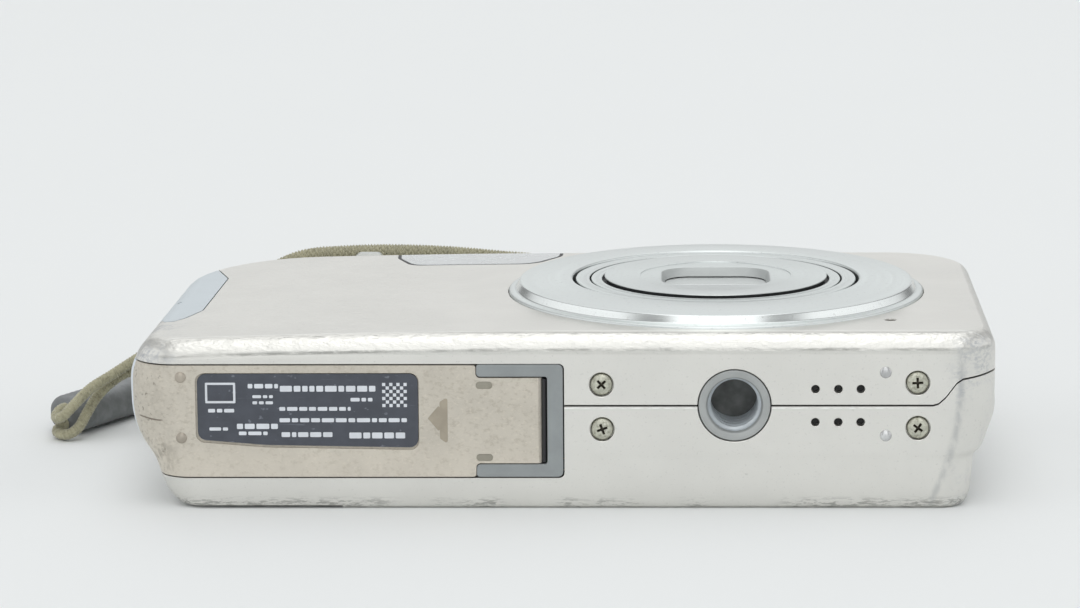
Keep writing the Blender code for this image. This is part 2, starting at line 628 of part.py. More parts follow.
# ---------------------------------------------------------------- strap
def strap_lug():
    """A staple behind the strap hole, with the bar that the loop goes round."""
    lug = prism("strap_lug", rectangle((-46.3, -42.8), (8.9, 15.7), 0.4), 9.2, 10.2, "steel")
    cut_prism(lug, rectangle((-45.5, -43.3), (9.7, 14.9), 0.4), 8.0, 11.5)


def smooth_route(route, spacing):
    """Points at even spacing along a Catmull-Rom curve through the route."""
    knots = [Vector(p) for p in route]
    knots = [2 * knots[0] - knots[1]] + knots + [2 * knots[-1] - knots[-2]]
    dense = []
    for a, b, c, d in zip(knots, knots[1:], knots[2:], knots[3:]):
        for k in range(24):
            t = k / 24
            dense.append(0.5 * (2 * b + (c - a) * t + (2 * a - 5 * b + 4 * c - d) * t ** 2
                                + (3 * b - a - 3 * c + d) * t ** 3))
    dense.append(knots[-2])
    lengths = [0.0]
    for a, b in zip(dense, dense[1:]):
        lengths.append(lengths[-1] + (b - a).length)
    count = max(round(lengths[-1] / spacing), 2)
    even = []
    k = 0
    for step in range(count + 1):
        goal = lengths[-1] * step / count
        while k < len(dense) - 2 and lengths[k + 1] < goal:
            k += 1
        part = (goal - lengths[k]) / max(lengths[k + 1] - lengths[k], 1e-9)
        even.append(dense[k].lerp(dense[k + 1], min(part, 1.0)))
    return even


def cord(name, route, diameter, spacing, finish):
    data = bpy.data.curves.new(name, "CURVE")
    data.dimensions = "3D"
    data.bevel_depth = diameter / 2 * MM
    data.bevel_resolution = 2
    data.use_fill_caps = True
    points = smooth_route(route, spacing)
    spline = data.splines.new("POLY")
    spline.points.add(len(points) - 1)
    for place, point in zip(spline.points, points):
        place.co = (*(point * MM), 1.0)
    data.materials.append(material(finish))
    obj = bpy.data.objects.new(name, data)
    bpy.context.collection.objects.link(obj)
    return obj


def strap_sleeve():
    side = Vector((-SLEEVE_DIRECTION.y, SLEEVE_DIRECTION.x, 0.0))
    sections = []
    for distance, scale in ((0.0, 0.8), (0.8, 1.0), (SLEEVE_LENGTH - 0.8, 1.0),
                            (SLEEVE_LENGTH, 0.9)):
        centre = SLEEVE_FRONT + SLEEVE_DIRECTION * distance
        outline = rectangle((-2.9 * scale, 2.9 * scale), (-2.1 * scale, 2.1 * scale),
                            1.7 * scale, 4)
        sections.append([tuple(centre + side * a + Vector((0.0, 0.0, b))) for a, b in outline])
    add_object("strap_sleeve", loft_bmesh(sections), "grey")


def strap():
    strap_lug()
    cord("strap_loop", LOOP_ROUTE, LOOP_D, 1.4, "khaki")
    strap_sleeve()
    cord("wrist_band", BAND_ROUTE, BAND_D, 4.2, "khaki")


def build():
    clear_scene()
    front_cover()
    rear_cover()
    side_trim()
    flash_window()
    battery_door()
    door_fittings()
    bottom_screws()
    tripod_socket()
    bottom_bracket()
    speaker()
    lens_bezel()
    lens_drive()
    lens_barrels()
    barrier_blades()
    lens_optics()
    power_parts()
    card_parts()
    boards()
    screen()
    flash_parts()
    sound_and_port()
    top_controls()
    rear_controls()
    strap()


build()
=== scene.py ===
"""Looks for the compact digital camera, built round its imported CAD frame.

Sizes below are in millimetres in the row frame and MM turns them into metres.
+Z is the lens axis, -Y the underside, +X to the right.
"""
import math
import random

import bmesh
import bpy
from mathutils import Matrix, Vector


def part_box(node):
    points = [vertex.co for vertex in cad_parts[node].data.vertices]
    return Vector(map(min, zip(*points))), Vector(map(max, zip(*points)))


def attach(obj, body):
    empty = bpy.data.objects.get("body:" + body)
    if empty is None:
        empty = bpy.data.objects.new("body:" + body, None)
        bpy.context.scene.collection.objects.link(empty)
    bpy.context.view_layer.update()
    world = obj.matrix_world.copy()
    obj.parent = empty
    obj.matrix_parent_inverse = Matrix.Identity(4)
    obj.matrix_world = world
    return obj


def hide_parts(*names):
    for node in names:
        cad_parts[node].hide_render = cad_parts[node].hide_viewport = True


MM = 0.001
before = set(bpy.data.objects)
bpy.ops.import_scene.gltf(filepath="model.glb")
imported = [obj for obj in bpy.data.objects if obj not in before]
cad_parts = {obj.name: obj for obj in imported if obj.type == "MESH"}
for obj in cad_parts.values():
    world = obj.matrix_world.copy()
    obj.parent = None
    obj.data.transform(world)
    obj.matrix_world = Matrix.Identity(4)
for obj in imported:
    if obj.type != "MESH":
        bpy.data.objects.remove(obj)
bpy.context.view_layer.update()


def span(node):
    """A CAD node's lowest and highest corner, in millimetres."""
    low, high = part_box(node)
    return low / MM, high / MM


def middle(node):
    """The middle of a CAD node's box, in millimetres."""
    low, high = span(node)
    return (low + high) / 2


# ---------------------------------------------------------------- sizes
# The casing's outer limits. Its underside is at UNDER_Y and its top edge at TOP_Y.
UNDER_Y = -28.3
TOP_Y = 26.1
LEFT_X = -48.75
RIGHT_X = 48.8
BODY_T = 20.0
WALL = 1.2
# A distance that lies outside the object on every side, for cutters.
BEYOND = 60.0
# The left end leans in by this much at its far corner.
LEFT_LEAN = 2.2
# Corner radii: near left, near right, far right, far left.
CORNER_R = (5.0, 5.0, 9.5, 15.0)
# Height, then how far the left end, the right end and the two long sides come in there.
CASING_LEVELS = (
    (0.0, 6.9, 4.2, 0.75), (0.3, 5.9, 3.55, 0.3), (1.1, 4.8, 3.0, 0.1),
    (2.6, 3.8, 2.7, 0.04), (5.2, 2.8, 2.45, 0.02), (5.8, 2.45, 2.25, 0.02),
    (6.3, 2.1, 1.65, 0.0), (7.0, 1.6, 1.25, 0.0), (8.45, 0.7, 0.7, 0.0),
    (10.4, 0.15, 0.05, 0.0), (12.4, 0.0, 0.0, 0.0), (18.0, 0.0, 0.0, 0.0),
    (20.0, 0.0, 0.0, 0.0),
)
FILLET_Z = 17.85
# The heights that the casing's outline is drawn at, closer together where it turns.
CASING_HEIGHTS = [0.0, 0.05, 0.12, 0.2, 0.3, 0.5, 0.8, 1.1, 1.6, 2.6, 3.6, 4.6, 5.2, 5.5, 5.8, 6.05,
                  6.3, 6.6, 7.0, 7.6, 8.45, 9.4, 10.4, 11.4, 12.4, 13.5, 14.5, 15.2, 15.9, 16.5,
                  17.0, 17.45]
CASING_HEIGHTS += [FILLET_Z + (BODY_T - FILLET_Z) * math.sin(math.radians(a))
                   for a in range(0, 91, 9)]
# Where the round to the front face starts on each side, and how far it reaches in.
ROUND_LEFT = (14.5, 3.4)
ROUND_RIGHT = (17.4, 2.1)
ROUND_NEAR = (FILLET_Z, 2.15)
ROUND_FAR = (16.8, 3.6)
# The front face falls by this much towards its left end.
FALL = 0.75
# The fall starts at this x and reaches its full amount after this run.
FALL_FROM_X = 4.0
FALL_RUN = 46.0
# The seam between the covers, and its step up at the right end as (x, rise).
SEAM_Z = 11.83
SEAM_RISE = ((41.6, 0.0), (42.2, 0.18), (43.0, 0.9), (44.2, 2.5), (44.9, 2.95),
             (48.1, 3.37), (BEYOND, 3.5))
SEAM_HALF = 0.105
DOOR_Z = (3.65, 16.5)
DOOR_RIGHT_X = -9.35
DOOR_WRAP_Y = UNDER_Y + 6.0
TONGUE_Z = (5.2, 15.05)
TONGUE_END_X = -1.9
BEZEL_X = (-9.35, 0.35)
BEZEL_WINDOW_X = -1.42
LABEL_X = (-40.6, -15.85)
PARTING_Z = 10.45
DOOR_PAD_Z = (14.18, 5.91)
RECESS_EDGE_X = -24.5
LENS = middle("lens_bezel")
SHUTTER = middle("shutter_button")
POWER = middle("power_button")
SCREWS = [middle(f"bottom_screw_{k}") for k in (1, 2, 3, 4)]
SOCKET = middle("tripod_socket")
MIC_HOLE = middle("microphone")
SPEAKER_HOLE_X = (28.5, 31.05, 33.55)
SPEAKER_HOLE_Z = (9.93, 13.7)
REAR_BUTTONS = ("rec_button", "play_button", "menu_button", "scene_button")
PAD = middle("control_pad")
SCREEN_X = (-17.0, 41.0)
SCREEN_Y = (-22.0, 22.0)

LOOP_D = 1.4
BAND_D = 2.6
SLEEVE_FRONT = Vector((-60.8, 11.0, 2.3))
SLEEVE_DIRECTION = Vector((0.48, 0.877, 0.0)).normalized()
SLEEVE_LENGTH = 21.5
LOOP_ROUTE = (
    (-60.95, 10.7, 3.2), (-61.5, 9.3, 3.2), (-61.8, 7.9, 2.9), (-61.5, 6.4, 2.8),
    (-60.6, 5.7, 3.3), (-59.5, 6.3, 4.4), (-57.7, 8.5, 6.0), (-55.5, 10.2, 7.2),
    (-53.0, 11.2, 8.7), (-49.8, 11.9, 10.6), (-47.0, 12.1, 11.4), (-45.3, 12.2, 11.1),
    (-44.4, 12.3, 9.7), (-45.3, 12.5, 8.2), (-47.0, 12.8, 7.8), (-50.2, 12.8, 7.9),
    (-53.6, 12.4, 7.2), (-55.7, 11.8, 6.0), (-57.2, 10.3, 4.6), (-58.2, 8.5, 3.0),
    (-59.0, 7.0, 1.6), (-60.1, 6.2, 0.9), (-61.3, 6.9, 0.8), (-61.8, 8.4, 0.95),
    (-60.95, 10.7, 1.4),
)
BAND_ROUTE = (
    (-48.93, 29.61, 2.3), (-48.3, 31.0, 2.4), (-46.9, 32.4, 3.1), (-45.0, 33.0, 4.9),
    (-43.2, 32.9, 7.6), (-41.4, 32.4, 10.8), (-39.2, 31.8, 14.0), (-36.6, 31.2, 16.5),
    (-33.2, 30.8, 17.9), (-29.0, 30.4, 18.4), (-23.0, 30.3, 18.6), (-16.0, 30.3, 18.4),
    (-9.0, 30.3, 17.8), (-3.0, 30.4, 17.1), (6.0, 30.8, 14.8), (15.0, 31.4, 11.0),
    (24.0, 32.2, 6.4), (31.0, 33.0, 3.0), (37.0, 33.8, 1.5), (42.0, 34.6, 1.4),
    (45.6, 37.0, 1.4), (46.0, 40.8, 1.4), (43.0, 43.6, 1.4), (37.0, 44.2, 1.4),
    (26.0, 43.6, 1.4), (12.0, 42.6, 1.4), (-4.0, 41.8, 1.4), (-20.0, 40.8, 1.4),
    (-32.0, 39.4, 1.4), (-40.0, 37.8, 1.4), (-46.5, 35.8, 1.5), (-50.5, 33.4, 1.9),
    (-51.48, 31.01, 2.3),
)


# ---------------------------------------------------------------- materials
EVEN = (1.0, 1.0, 1.0)


def srgb(red, green, blue):
    """A display colour from 0 to 255 as a linear colour."""
    return tuple(((c / 255 + 0.055) / 1.055) ** 2.4 for c in (red, green, blue)) + (1.0,)


def scaled(colour, factor):
    return tuple(min(c * factor, 1.0) for c in colour[:3]) + (1.0,)


class Nodes:
    """A node tree and short ways to add to it."""

    def __init__(self, tree):
        self.tree = tree

    def put(self, socket, value):
        if isinstance(value, bpy.types.NodeSocket):
            self.tree.links.new(value, socket)
        else:
            socket.default_value = value

    def node(self, kind, inputs=None, **settings):
        made = self.tree.nodes.new(kind)
        for key, value in settings.items():
            setattr(made, key, value)
        for key, value in (inputs or {}).items():
            self.put(made.inputs[key], value)
        return made

    def maths(self, operation, a, b=0.0):
        return self.node("ShaderNodeMath", {0: a, 1: b}, operation=operation).outputs[0]

    def times(self, first, *others):
        """The product of all the values."""
        for other in others:
            first = self.maths("MULTIPLY", first, other)
        return first

    def most(self, first, *others):
        """The highest of all the values."""
        for other in others:
            first = self.maths("MAXIMUM", first, other)
        return first

    def vector(self, x, y, z=0.0):
        return self.node("ShaderNodeCombineXYZ", {0: x, 1: y, 2: z}).outputs[0]


class Shade(Nodes):
    """One procedural material on object coordinates. x, y and z are in millimetres."""

    def __init__(self, name, colour, roughness, metallic=0.0, **sockets):
        self.material = bpy.data.materials.new(name)
        self.material.use_nodes = True
        super().__init__(self.material.node_tree)
        self.shader = self.tree.nodes["Principled BSDF"]
        self.tint(colour)
        self.set("Roughness", roughness)
        self.set("Metallic", metallic)
        for socket, value in sockets.items():
            self.set(socket.replace("_", " "), value)
        self.coords = self.node("ShaderNodeTexCoord").outputs["Object"]
        axes = self.node("ShaderNodeSeparateXYZ", {"Vector": self.coords})
        self.x, self.y, self.z = (self.times(axes.outputs[k], 1 / MM) for k in "XYZ")

    def set(self, socket, value):
        self.put(self.shader.inputs[socket], value)

    def tint(self, colour):
        self.colour = colour
        self.set("Base Color", colour)

    def moved(self, stretch, offset):
        return self.node("ShaderNodeMapping", {
            "Vector": self.coords, "Scale": stretch,
            "Location": (offset, offset * 0.7, offset * 1.3)}).outputs[0]

    def noise(self, per_mm, detail=2.0, stretch=EVEN, offset=0.0):
        return self.node("ShaderNodeTexNoise", {
            "Vector": self.moved(stretch, offset), "Scale": per_mm / MM,
            "Detail": detail, "Roughness": 0.6}).outputs["Fac"]

    def cells(self, per_mm, offset):
        return self.node("ShaderNodeTexVoronoi", {
            "Vector": self.moved(EVEN, offset), "Scale": per_mm / MM}).outputs["Distance"]

    def ramp(self, value, low, high, to_low=0.0, to_high=1.0):
        return self.node("ShaderNodeMapRange", {
            "Value": value, "From Min": low, "From Max": high, "To Min": to_low,
            "To Max": to_high}, interpolation_type="SMOOTHSTEP").outputs[0]

    def away(self, value, centre):
        return self.maths("ABSOLUTE", self.maths("SUBTRACT", value, centre))

    def near(self, value, centre, reach):
        """1 where the value is at the centre, falling to 0 at the reach."""
        return self.ramp(self.away(value, centre), 0.0, reach, 1.0, 0.0)

    def mix(self, factor, a, b):
        return self.node("ShaderNodeMix", {0: factor, 6: a, 7: b}, data_type="RGBA").outputs[2]

    def bump(self, height, distance, strength=1.0, normal=None):
        inputs = {"Height": height, "Distance": distance * MM, "Strength": strength}
        if normal is not None:
            inputs["Normal"] = normal
        out = self.node("ShaderNodeBump", inputs).outputs[0]
        self.set("Normal", out)
        return out

    def mottle(self, per_mm, amount):
        """Vary the colour lightly by a soft noise."""
        self.tint(self.mix(self.ramp(self.noise(per_mm, 3.0), 0.3, 0.7),
                           scaled(self.colour, 1 - amount), scaled(self.colour, 1 + amount)))

    def overlay(self, mask, colour):
        self.tint(self.mix(mask, self.colour, colour))


# Dark specks, and the painted dark reflection along the round's lower edge.
SPECK_AND_DARK_REFLECTION = srgb(112, 112, 108)
WORN = srgb(150, 157, 168)
# Colour of the painted highlight lines on the casing.
PAINTED_HIGHLIGHT = srgb(249, 250, 247)


def worn_metal(name, colour, roughness, metallic):
    """Painted metal with scuffed edges, small dents and dark specks, and painted highlight, shade
    and reflection lines.
    """
    s = Shade(name, colour, roughness, metallic)
    s.mottle(0.12, 0.022)
    s.overlay(s.ramp(s.noise(3.4, 2.0), 0.60, 0.78, 0.0, 0.16), SPECK_AND_DARK_REFLECTION)

    # Wear along both edges of the round to the front face, which falls to the left, and the foot;
    # the round's lower edge line is partly painted dark reflection.
    fall = s.times(s.most(s.maths("SUBTRACT", FALL_FROM_X, s.x), 0.0), 1 / FALL_RUN)
    crest = s.maths("ADD", s.z, s.times(fall, fall, FALL))
    fine = s.noise(3.0, 4.0, (0.30, 1, 1.6), 0.31)
    lower_wear_and_dark_reflection = s.times(s.near(crest, FILLET_Z + 0.36, 0.30), s.ramp(fine, 0.22, 0.56),
                    s.ramp(s.noise(0.16, 2.0, EVEN, 0.17), 0.36, 0.62, 0.25, 1.0))
    upper = s.times(s.near(crest, BODY_T - 0.20, 0.12), s.ramp(fine, 0.50, 0.68))
    foot = s.times(s.near(s.z, 0.55, 1.1), s.ramp(fine, 0.46, 0.60),
                   s.ramp(s.noise(0.12, 2.0, EVEN, 0.63), 0.36, 0.54))
    side = s.most(s.near(s.y, UNDER_Y, 3.2), s.near(s.y, TOP_Y, 2.4))
    edges = s.times(s.most(lower_wear_and_dark_reflection, upper, foot), s.ramp(side, 0.0, 0.4))

    # Painted highlight lines where the round meets the face and just below the seam.
    s.overlay(s.times(s.near(s.y, UNDER_Y + 2.0, 0.13), s.ramp(s.z, 18.9, 19.2),
                      s.ramp(fine, 0.30, 0.60, 0.35, 0.85)), PAINTED_HIGHLIGHT)
    s.overlay(s.times(s.near(s.z, SEAM_Z - 0.28, 0.16), s.ramp(s.x, 38.0, 41.0, 1.0, 0.0),
                      s.ramp(fine, 0.36, 0.60, 0.0, 0.8)), PAINTED_HIGHLIGHT)
    # The edge mask takes the dark speck colour: wear, and on the round's lower edge partly a
    # painted dark reflection.
    s.overlay(s.times(edges, 0.58), SPECK_AND_DARK_REFLECTION)

    # A painted shade line along the curved crease across the underside's right end.
    drop = s.most(s.maths("SUBTRACT", 14.0, s.z), 0.0)
    painted_crease_shade = s.times(s.near(s.maths("ADD", s.x, s.times(drop, drop, 0.019)), 44.7, 0.7),
                     s.ramp(s.y, UNDER_Y + 2.5, UNDER_Y + 4.0, 1.0, 0.0),
                     s.ramp(s.z, 17.6, 18.6, 1.0, 0.0),
                     s.ramp(s.noise(1.1, 4.0, (1, 1, 0.5), 0.37), 0.36, 0.60, 0.10, 0.42))
    s.overlay(painted_crease_shade, srgb(158, 161, 163))

    # Rubbed patches near both ends, and nicks all over.
    ends = s.most(s.near(s.x, 46.0, 3.8), s.near(s.x, -46.4, 5.6))
    rub = s.times(ends, s.ramp(s.z, 11.0, 16.5, 0.6, 1.0), s.ramp(s.z, 18.9, 19.7, 1.0, 0.12),
                  s.ramp(s.noise(0.17, 5.0, EVEN, 0.53), 0.44, 0.62),
                  s.ramp(s.noise(2.6, 4.0, (0.6, 1, 1), 0.91), 0.40, 0.62, 0.10, 1.0))
    s.overlay(s.times(rub, 0.52), WORN)
    nicks = s.times(s.ramp(s.noise(0.9, 4.0, (0.45, 1, 1), 0.77), 0.70, 0.78),
                    s.ramp(s.noise(0.09, 1.0, EVEN, 0.4), 0.46, 0.60))
    s.overlay(s.times(nicks, 0.5), SPECK_AND_DARK_REFLECTION)
    s.set("Roughness", s.ramp(s.most(edges, rub), 0.0, 1.0, roughness, roughness + 0.12))

    # Fine grain, soft dents on the round, and the nicks and edges pressed in.
    relief = s.bump(s.noise(7.0, 2.0), 0.004, 0.35)
    dents = s.times(s.noise(1.3, 3.0, (0.5, 1, 1), 0.44), s.ramp(s.z, 17.6, 18.2),
                    s.ramp(s.z, 19.97, 19.8))
    relief = s.bump(dents, 0.22, 0.9, relief)
    s.bump(s.most(nicks, edges), -0.02, 0.5, relief)
    return s.material


def plain(name, colour, roughness, metallic=0.0, grain=0.006, per_mm=5.0, amount=0.04,
          **sockets):
    """Moulded or machined stock with a light mottle and a fine surface grain."""
    s = Shade(name, colour, roughness, metallic, **sockets)
    s.mottle(0.4, amount)
    s.bump(s.noise(per_mm, 3.0), grain, 0.5)
    return s.material


def screw_nickel():
    """Dull nickel with dirt that has settled in spots."""
    s = Shade("screw_nickel", srgb(190, 190, 176), 0.34, 0.85)
    s.mottle(1.6, 0.16)
    s.overlay(s.ramp(s.noise(2.8, 3.0), 0.52, 0.66, 0.0, 0.60), srgb(128, 126, 108))
    s.overlay(s.ramp(s.noise(3.3, 2.0, EVEN, 0.6), 0.60, 0.70, 0.0, 0.5), srgb(226, 226, 218))
    s.bump(s.noise(3.0, 3.0), 0.02, 0.6)
    return s.material


def turned(name, colour, roughness, centre, amount=0.05, drawn=0.55):
    """Metal turned on a lathe: fine rings round the centre, and a gloss drawn across them."""
    s = Shade(name, colour, roughness, 1.0, Anisotropic=drawn)
    dx, dy = (s.maths("SUBTRACT", v, c) for v, c in ((s.x, centre.x), (s.y, centre.y)))
    radius = s.maths("SQRT", s.maths("ADD", s.times(dx, dx), s.times(dy, dy)))
    s.set("Tangent", s.vector(s.times(dy, -1.0), dx))
    at = s.vector(radius, s.times(dx, 0.004), s.times(dy, 0.004))
    rings = s.node("ShaderNodeTexNoise", {"Vector": at, "Scale": 6.0, "Detail": 3.0}).outputs[0]
    s.tint(s.mix(s.ramp(rings, 0.3, 0.7), scaled(colour, 1 - amount), colour))
    s.overlay(s.ramp(s.noise(2.2, 4.0, EVEN, 0.2), 0.56, 0.74, 0.0, 0.18), SPECK_AND_DARK_REFLECTION)
    s.set("Roughness", s.ramp(rings, 0.3, 0.7, roughness * 0.85, roughness * 1.15))
    s.bump(rings, 0.004, 0.5)
    return s.material


def door_paint():
    """Champagne paint with dirt at its left end, a parting line across that end and a painted
    highlight along its wrapped left edge.
    """
    s = Shade("champagne_paint", srgb(198, 192, 180), 0.44, 0.30)
    s.mottle(0.22, 0.05)
    s.overlay(s.ramp(s.noise(2.6, 4.0, (0.7, 1, 1)), 0.48, 0.72, 0.0, 0.36), srgb(150, 140, 122))
    s.overlay(s.ramp(s.noise(3.6, 3.0, (0.6, 1, 1), 0.8), 0.54, 0.70, 0.0, 0.32),
              srgb(222, 214, 200))
    # Lighter towards the bottom of the door.
    s.overlay(s.ramp(s.z, 8.5, 5.5, 0.0, 0.25), srgb(228, 220, 206))
    spots = s.times(s.ramp(s.noise(1.5, 3.0, EVEN, 0.3), 0.60, 0.70),
                    s.ramp(s.x, -46.8, -41.5, 1.0, 0.10), 0.62)
    s.overlay(spots, srgb(104, 94, 82))
    scuff = s.times(s.ramp(s.x, -45.4, -41.5, 1.0, 0.0),
                    s.ramp(s.noise(0.8, 5.0, (1, 1, 0.7), 0.6), 0.47, 0.64),
                    s.ramp(s.z, 8.8, 7.4, 0.25, 1.0), 0.50)
    s.overlay(scuff, srgb(126, 119, 108))
    parting = s.away(s.maths("ADD", s.z, s.ramp(s.x, -48.0, -44.9, 0.0, 0.28)), PARTING_Z)
    line = s.times(s.ramp(parting, 0.05, 0.13, 1.0, 0.0), s.ramp(s.x, -44.9, -44.4, 1.0, 0.0),
                   s.ramp(s.x, -47.5, -47.1))
    s.overlay(s.times(line, 0.70), srgb(92, 80, 68))
    # A painted highlight along the door's wrapped left edge.
    edge = s.times(s.ramp(s.y, UNDER_Y + 3.0, UNDER_Y + 3.2), s.ramp(s.z, 7.4, 7.7), 0.85)
    s.overlay(edge, srgb(222, 231, 240))
    relief = s.bump(s.noise(6.0, 2.0), 0.006, 0.45)
    s.bump(line, -0.06, 0.6, relief)
    return s.material


def label_base():
    s = Shade("label_dark", srgb(68, 72, 81), 0.42)
    s.mottle(0.5, 0.10)
    scratch = s.ramp(s.noise(0.5, 3.0, (0.35, 1, 9.0), 0.2), 0.68, 0.74)
    dust = s.ramp(s.noise(1.6, 2.0, (0.6, 1, 1), 0.7), 0.66, 0.74)
    s.overlay(s.times(s.most(scratch, dust), 0.35), srgb(150, 156, 168))
    s.bump(s.noise(4.0, 2.0), 0.004, 0.4)
    return s.material


def cord_fibre(name, colour):
    s = Shade(name, colour, 0.82, 0.0, Sheen_Weight=0.35, Sheen_Roughness=0.5)
    s.mottle(0.35, 0.10)
    s.overlay(s.ramp(s.noise(2.6, 3.0), 0.48, 0.7, 0.0, 0.45), srgb(104, 100, 78))
    s.overlay(s.ramp(s.noise(3.4, 2.0, EVEN, 0.3), 0.55, 0.7, 0.0, 0.5), srgb(190, 186, 160))
    s.bump(s.noise(5.0, 3.0), 0.05, 0.7)
    return s.material


def board_mask():
    s = Shade("board_green", srgb(28, 92, 56), 0.38)
    lanes = s.node("ShaderNodeTexBrick", {
        "Vector": s.moved(EVEN, 0.0), "Scale": 0.22 / MM, "Color1": srgb(28, 92, 56),
        "Color2": srgb(36, 110, 66), "Mortar": srgb(58, 134, 84), "Mortar Size": 0.04})
    s.tint(lanes.outputs["Color"])
    s.overlay(s.ramp(s.cells(0.55, 0.1), 0.10, 0.13, 1.0, 0.0), srgb(196, 176, 112))
    s.bump(lanes.outputs["Fac"], 0.03, 0.5)
    return s.material


def cell_wrap():
    s = Shade("battery_wrap", srgb(58, 62, 70), 0.35)
    s.mottle(0.3, 0.06)
    s.overlay(s.near(s.z, 7.45, 1.4), srgb(150, 156, 166))
    s.bump(s.noise(0.6, 3.0), 0.03, 0.4)
    return s.material


def clear(name, colour, transmission, roughness=0.06):
    s = Shade(name, colour, roughness, 0.0, Transmission_Weight=transmission, IOR=1.49,
              Coat_Weight=0.4)
    s.mottle(0.2, 0.01)
    s.bump(s.noise(0.8, 2.0), 0.002, 0.3)
    return s.material


SILVER = worn_metal("cover_silver", srgb(221, 220, 215), 0.36, 0.85)
CHAMPAGNE = door_paint()
SLATE = plain("bezel_slate", srgb(143, 148, 149), 0.5, amount=0.05, per_mm=4.0)
LABEL = label_base()
LABEL_PALE = plain("label_pale", srgb(214, 218, 224), 0.5, amount=0.05, per_mm=4.0)
TRIM = plain("trim_silver", srgb(198, 207, 212), 0.36, 0.45, amount=0.015)
TURNED = turned("lens_aluminium", srgb(219, 224, 223), 0.34, LENS)
POLISHED = turned("lens_polished", srgb(232, 236, 235), 0.20, LENS, 0.05, 0.0)
CAP = turned("cap_aluminium", srgb(214, 219, 218), 0.36, LENS)
# The window's wall is a darker grey: painted shade inside the window's recess.
WINDOW_WALL_SHADE = plain("window_wall_shade", srgb(172, 176, 175), 0.42, 0.3)
BLADE = plain("blade_silver", srgb(204, 208, 207), 0.42, 0.6, amount=0.03)
NICKEL = screw_nickel()
# Grime in the screw recesses, and the painted shade of the dark disc inside the microphone hole.
GRIME_AND_SHADE = plain("recess_grime_and_shade", srgb(72, 68, 56), 0.5, 0.5, amount=0.2)
STEEL = plain("steel", srgb(172, 174, 172), 0.33, 1.0, amount=0.05)
BUSH = plain("bush_metal", srgb(166, 169, 168), 0.42, 0.35, amount=0.05)
BUSH_DARK = plain("bush_dark", srgb(112, 114, 112), 0.6, 0.0, amount=0.30, per_mm=2.0)
BUSH_THREAD = plain("bush_thread", srgb(196, 202, 206), 0.34, 0.25, amount=0.06, per_mm=3.0)
BLACK = plain("black_plastic", srgb(34, 35, 37), 0.5, amount=0.1)
GREY = plain("grey_plastic", srgb(120, 124, 128), 0.5)
CONTROL = plain("control_aluminium", srgb(208, 211, 210), 0.3, 0.95, amount=0.03)
BUTTON = plain("button_silver", srgb(205, 207, 205), 0.34, 0.7, amount=0.02)
PAD_MARK = plain("pad_mark", srgb(104, 108, 112), 0.5)
DOOR_MARK = plain("door_mark", srgb(163, 154, 138), 0.5, 0.1, amount=0.10, per_mm=3.0)
STUD = plain("cover_stud", srgb(214, 215, 215), 0.24, 0.7, amount=0.30, per_mm=2.4)
DOOR_STUD = plain("door_stud", srgb(168, 160, 148), 0.30, 0.5, amount=0.16, per_mm=3.0)
DOOR_PAD = plain("door_pad", srgb(152, 148, 135), 0.55, amount=0.10, per_mm=3.0)
PANE = clear("flash_pane", srgb(226, 231, 232), 0.45, 0.1)
GLASS = clear("lens_glass", srgb(214, 226, 230), 0.9, 0.02)
SCREEN = plain("screen_glass", srgb(24, 26, 30), 0.08, grain=0.001, per_mm=0.6, Coat_Weight=0.6)
BOARD = board_mask()
WRAP = cell_wrap()
KHAKI = cord_fibre("strap_khaki", srgb(164, 160, 134))
SLEEVE = plain("sleeve_grey", srgb(119, 122, 123), 0.5, grain=0.03, per_mm=1.6, amount=0.22)


# ---------------------------------------------------------------- stage
# Brightness of the room by height, across it and along it: a bright strip over the object with
# darker ceiling at both its sides, bright in front and dimmer behind.
ROOM_BY_HEIGHT = ((0.0, 0.86), (0.10, 0.90), (0.26, 1.0), (1.0, 1.0))
ROOM_ACROSS = ((0.0, 1.0), (0.34, 1.0), (0.43, 0.30), (0.60, 0.30), (0.72, 0.86), (1.0, 0.80))
ROOM_ALONG = ((0.0, 1.15), (0.35, 1.03), (0.62, 1.0), (0.85, 0.78), (1.0, 0.68))
ROOM_TINT = (0.985, 0.995, 1.0)
ROOM_STRENGTH = 1.31
# The viewpoint fitted to the photo: place and lens in millimetres, angles in radians.
VIEW_PLACE = Vector((11.62, UNDER_Y - 458.3, 111.4))
VIEW_LENS = 140.0
VIEW_TILT, VIEW_YAW, VIEW_ROLL = math.radians(10.863), -0.03, math.radians(-0.404)


def studio_world():
    """The room: its brightness is the product of one ramp along each axis."""
    world = bpy.data.worlds.new("studio")
    bpy.context.scene.world = world
    world.use_nodes = True
    sky = Nodes(world.node_tree)
    coords = sky.node("ShaderNodeTexCoord").outputs["Generated"]
    axes = sky.node("ShaderNodeSeparateXYZ", {0: coords}).outputs
    ahead = sky.maths("ADD", sky.times(axes["Y"], 0.5), 0.5)
    levels = []
    for value, stops, tint in ((axes["Z"], ROOM_BY_HEIGHT, ROOM_TINT),
                               (sky.maths("ABSOLUTE", axes["X"]), ROOM_ACROSS, EVEN),
                               (ahead, ROOM_ALONG, EVEN)):
        ramp = sky.node("ShaderNodeValToRGB", {0: value})
        while len(ramp.color_ramp.elements) < len(stops):
            ramp.color_ramp.elements.new(0.5)
        for stop, (at, amount) in zip(ramp.color_ramp.elements, stops):
            stop.position = at
            stop.color = tuple(amount * c for c in tint) + (1.0,)
        levels.append(ramp.outputs[0])
    level = levels[0]
    for other in levels[1:]:
        level = sky.node("ShaderNodeVectorMath", {0: level, 1: other},
                         operation="MULTIPLY").outputs[0]
    background = world.node_tree.nodes["Background"].inputs
    sky.put(background["Color"], level)
    background["Strength"].default_value = ROOM_STRENGTH


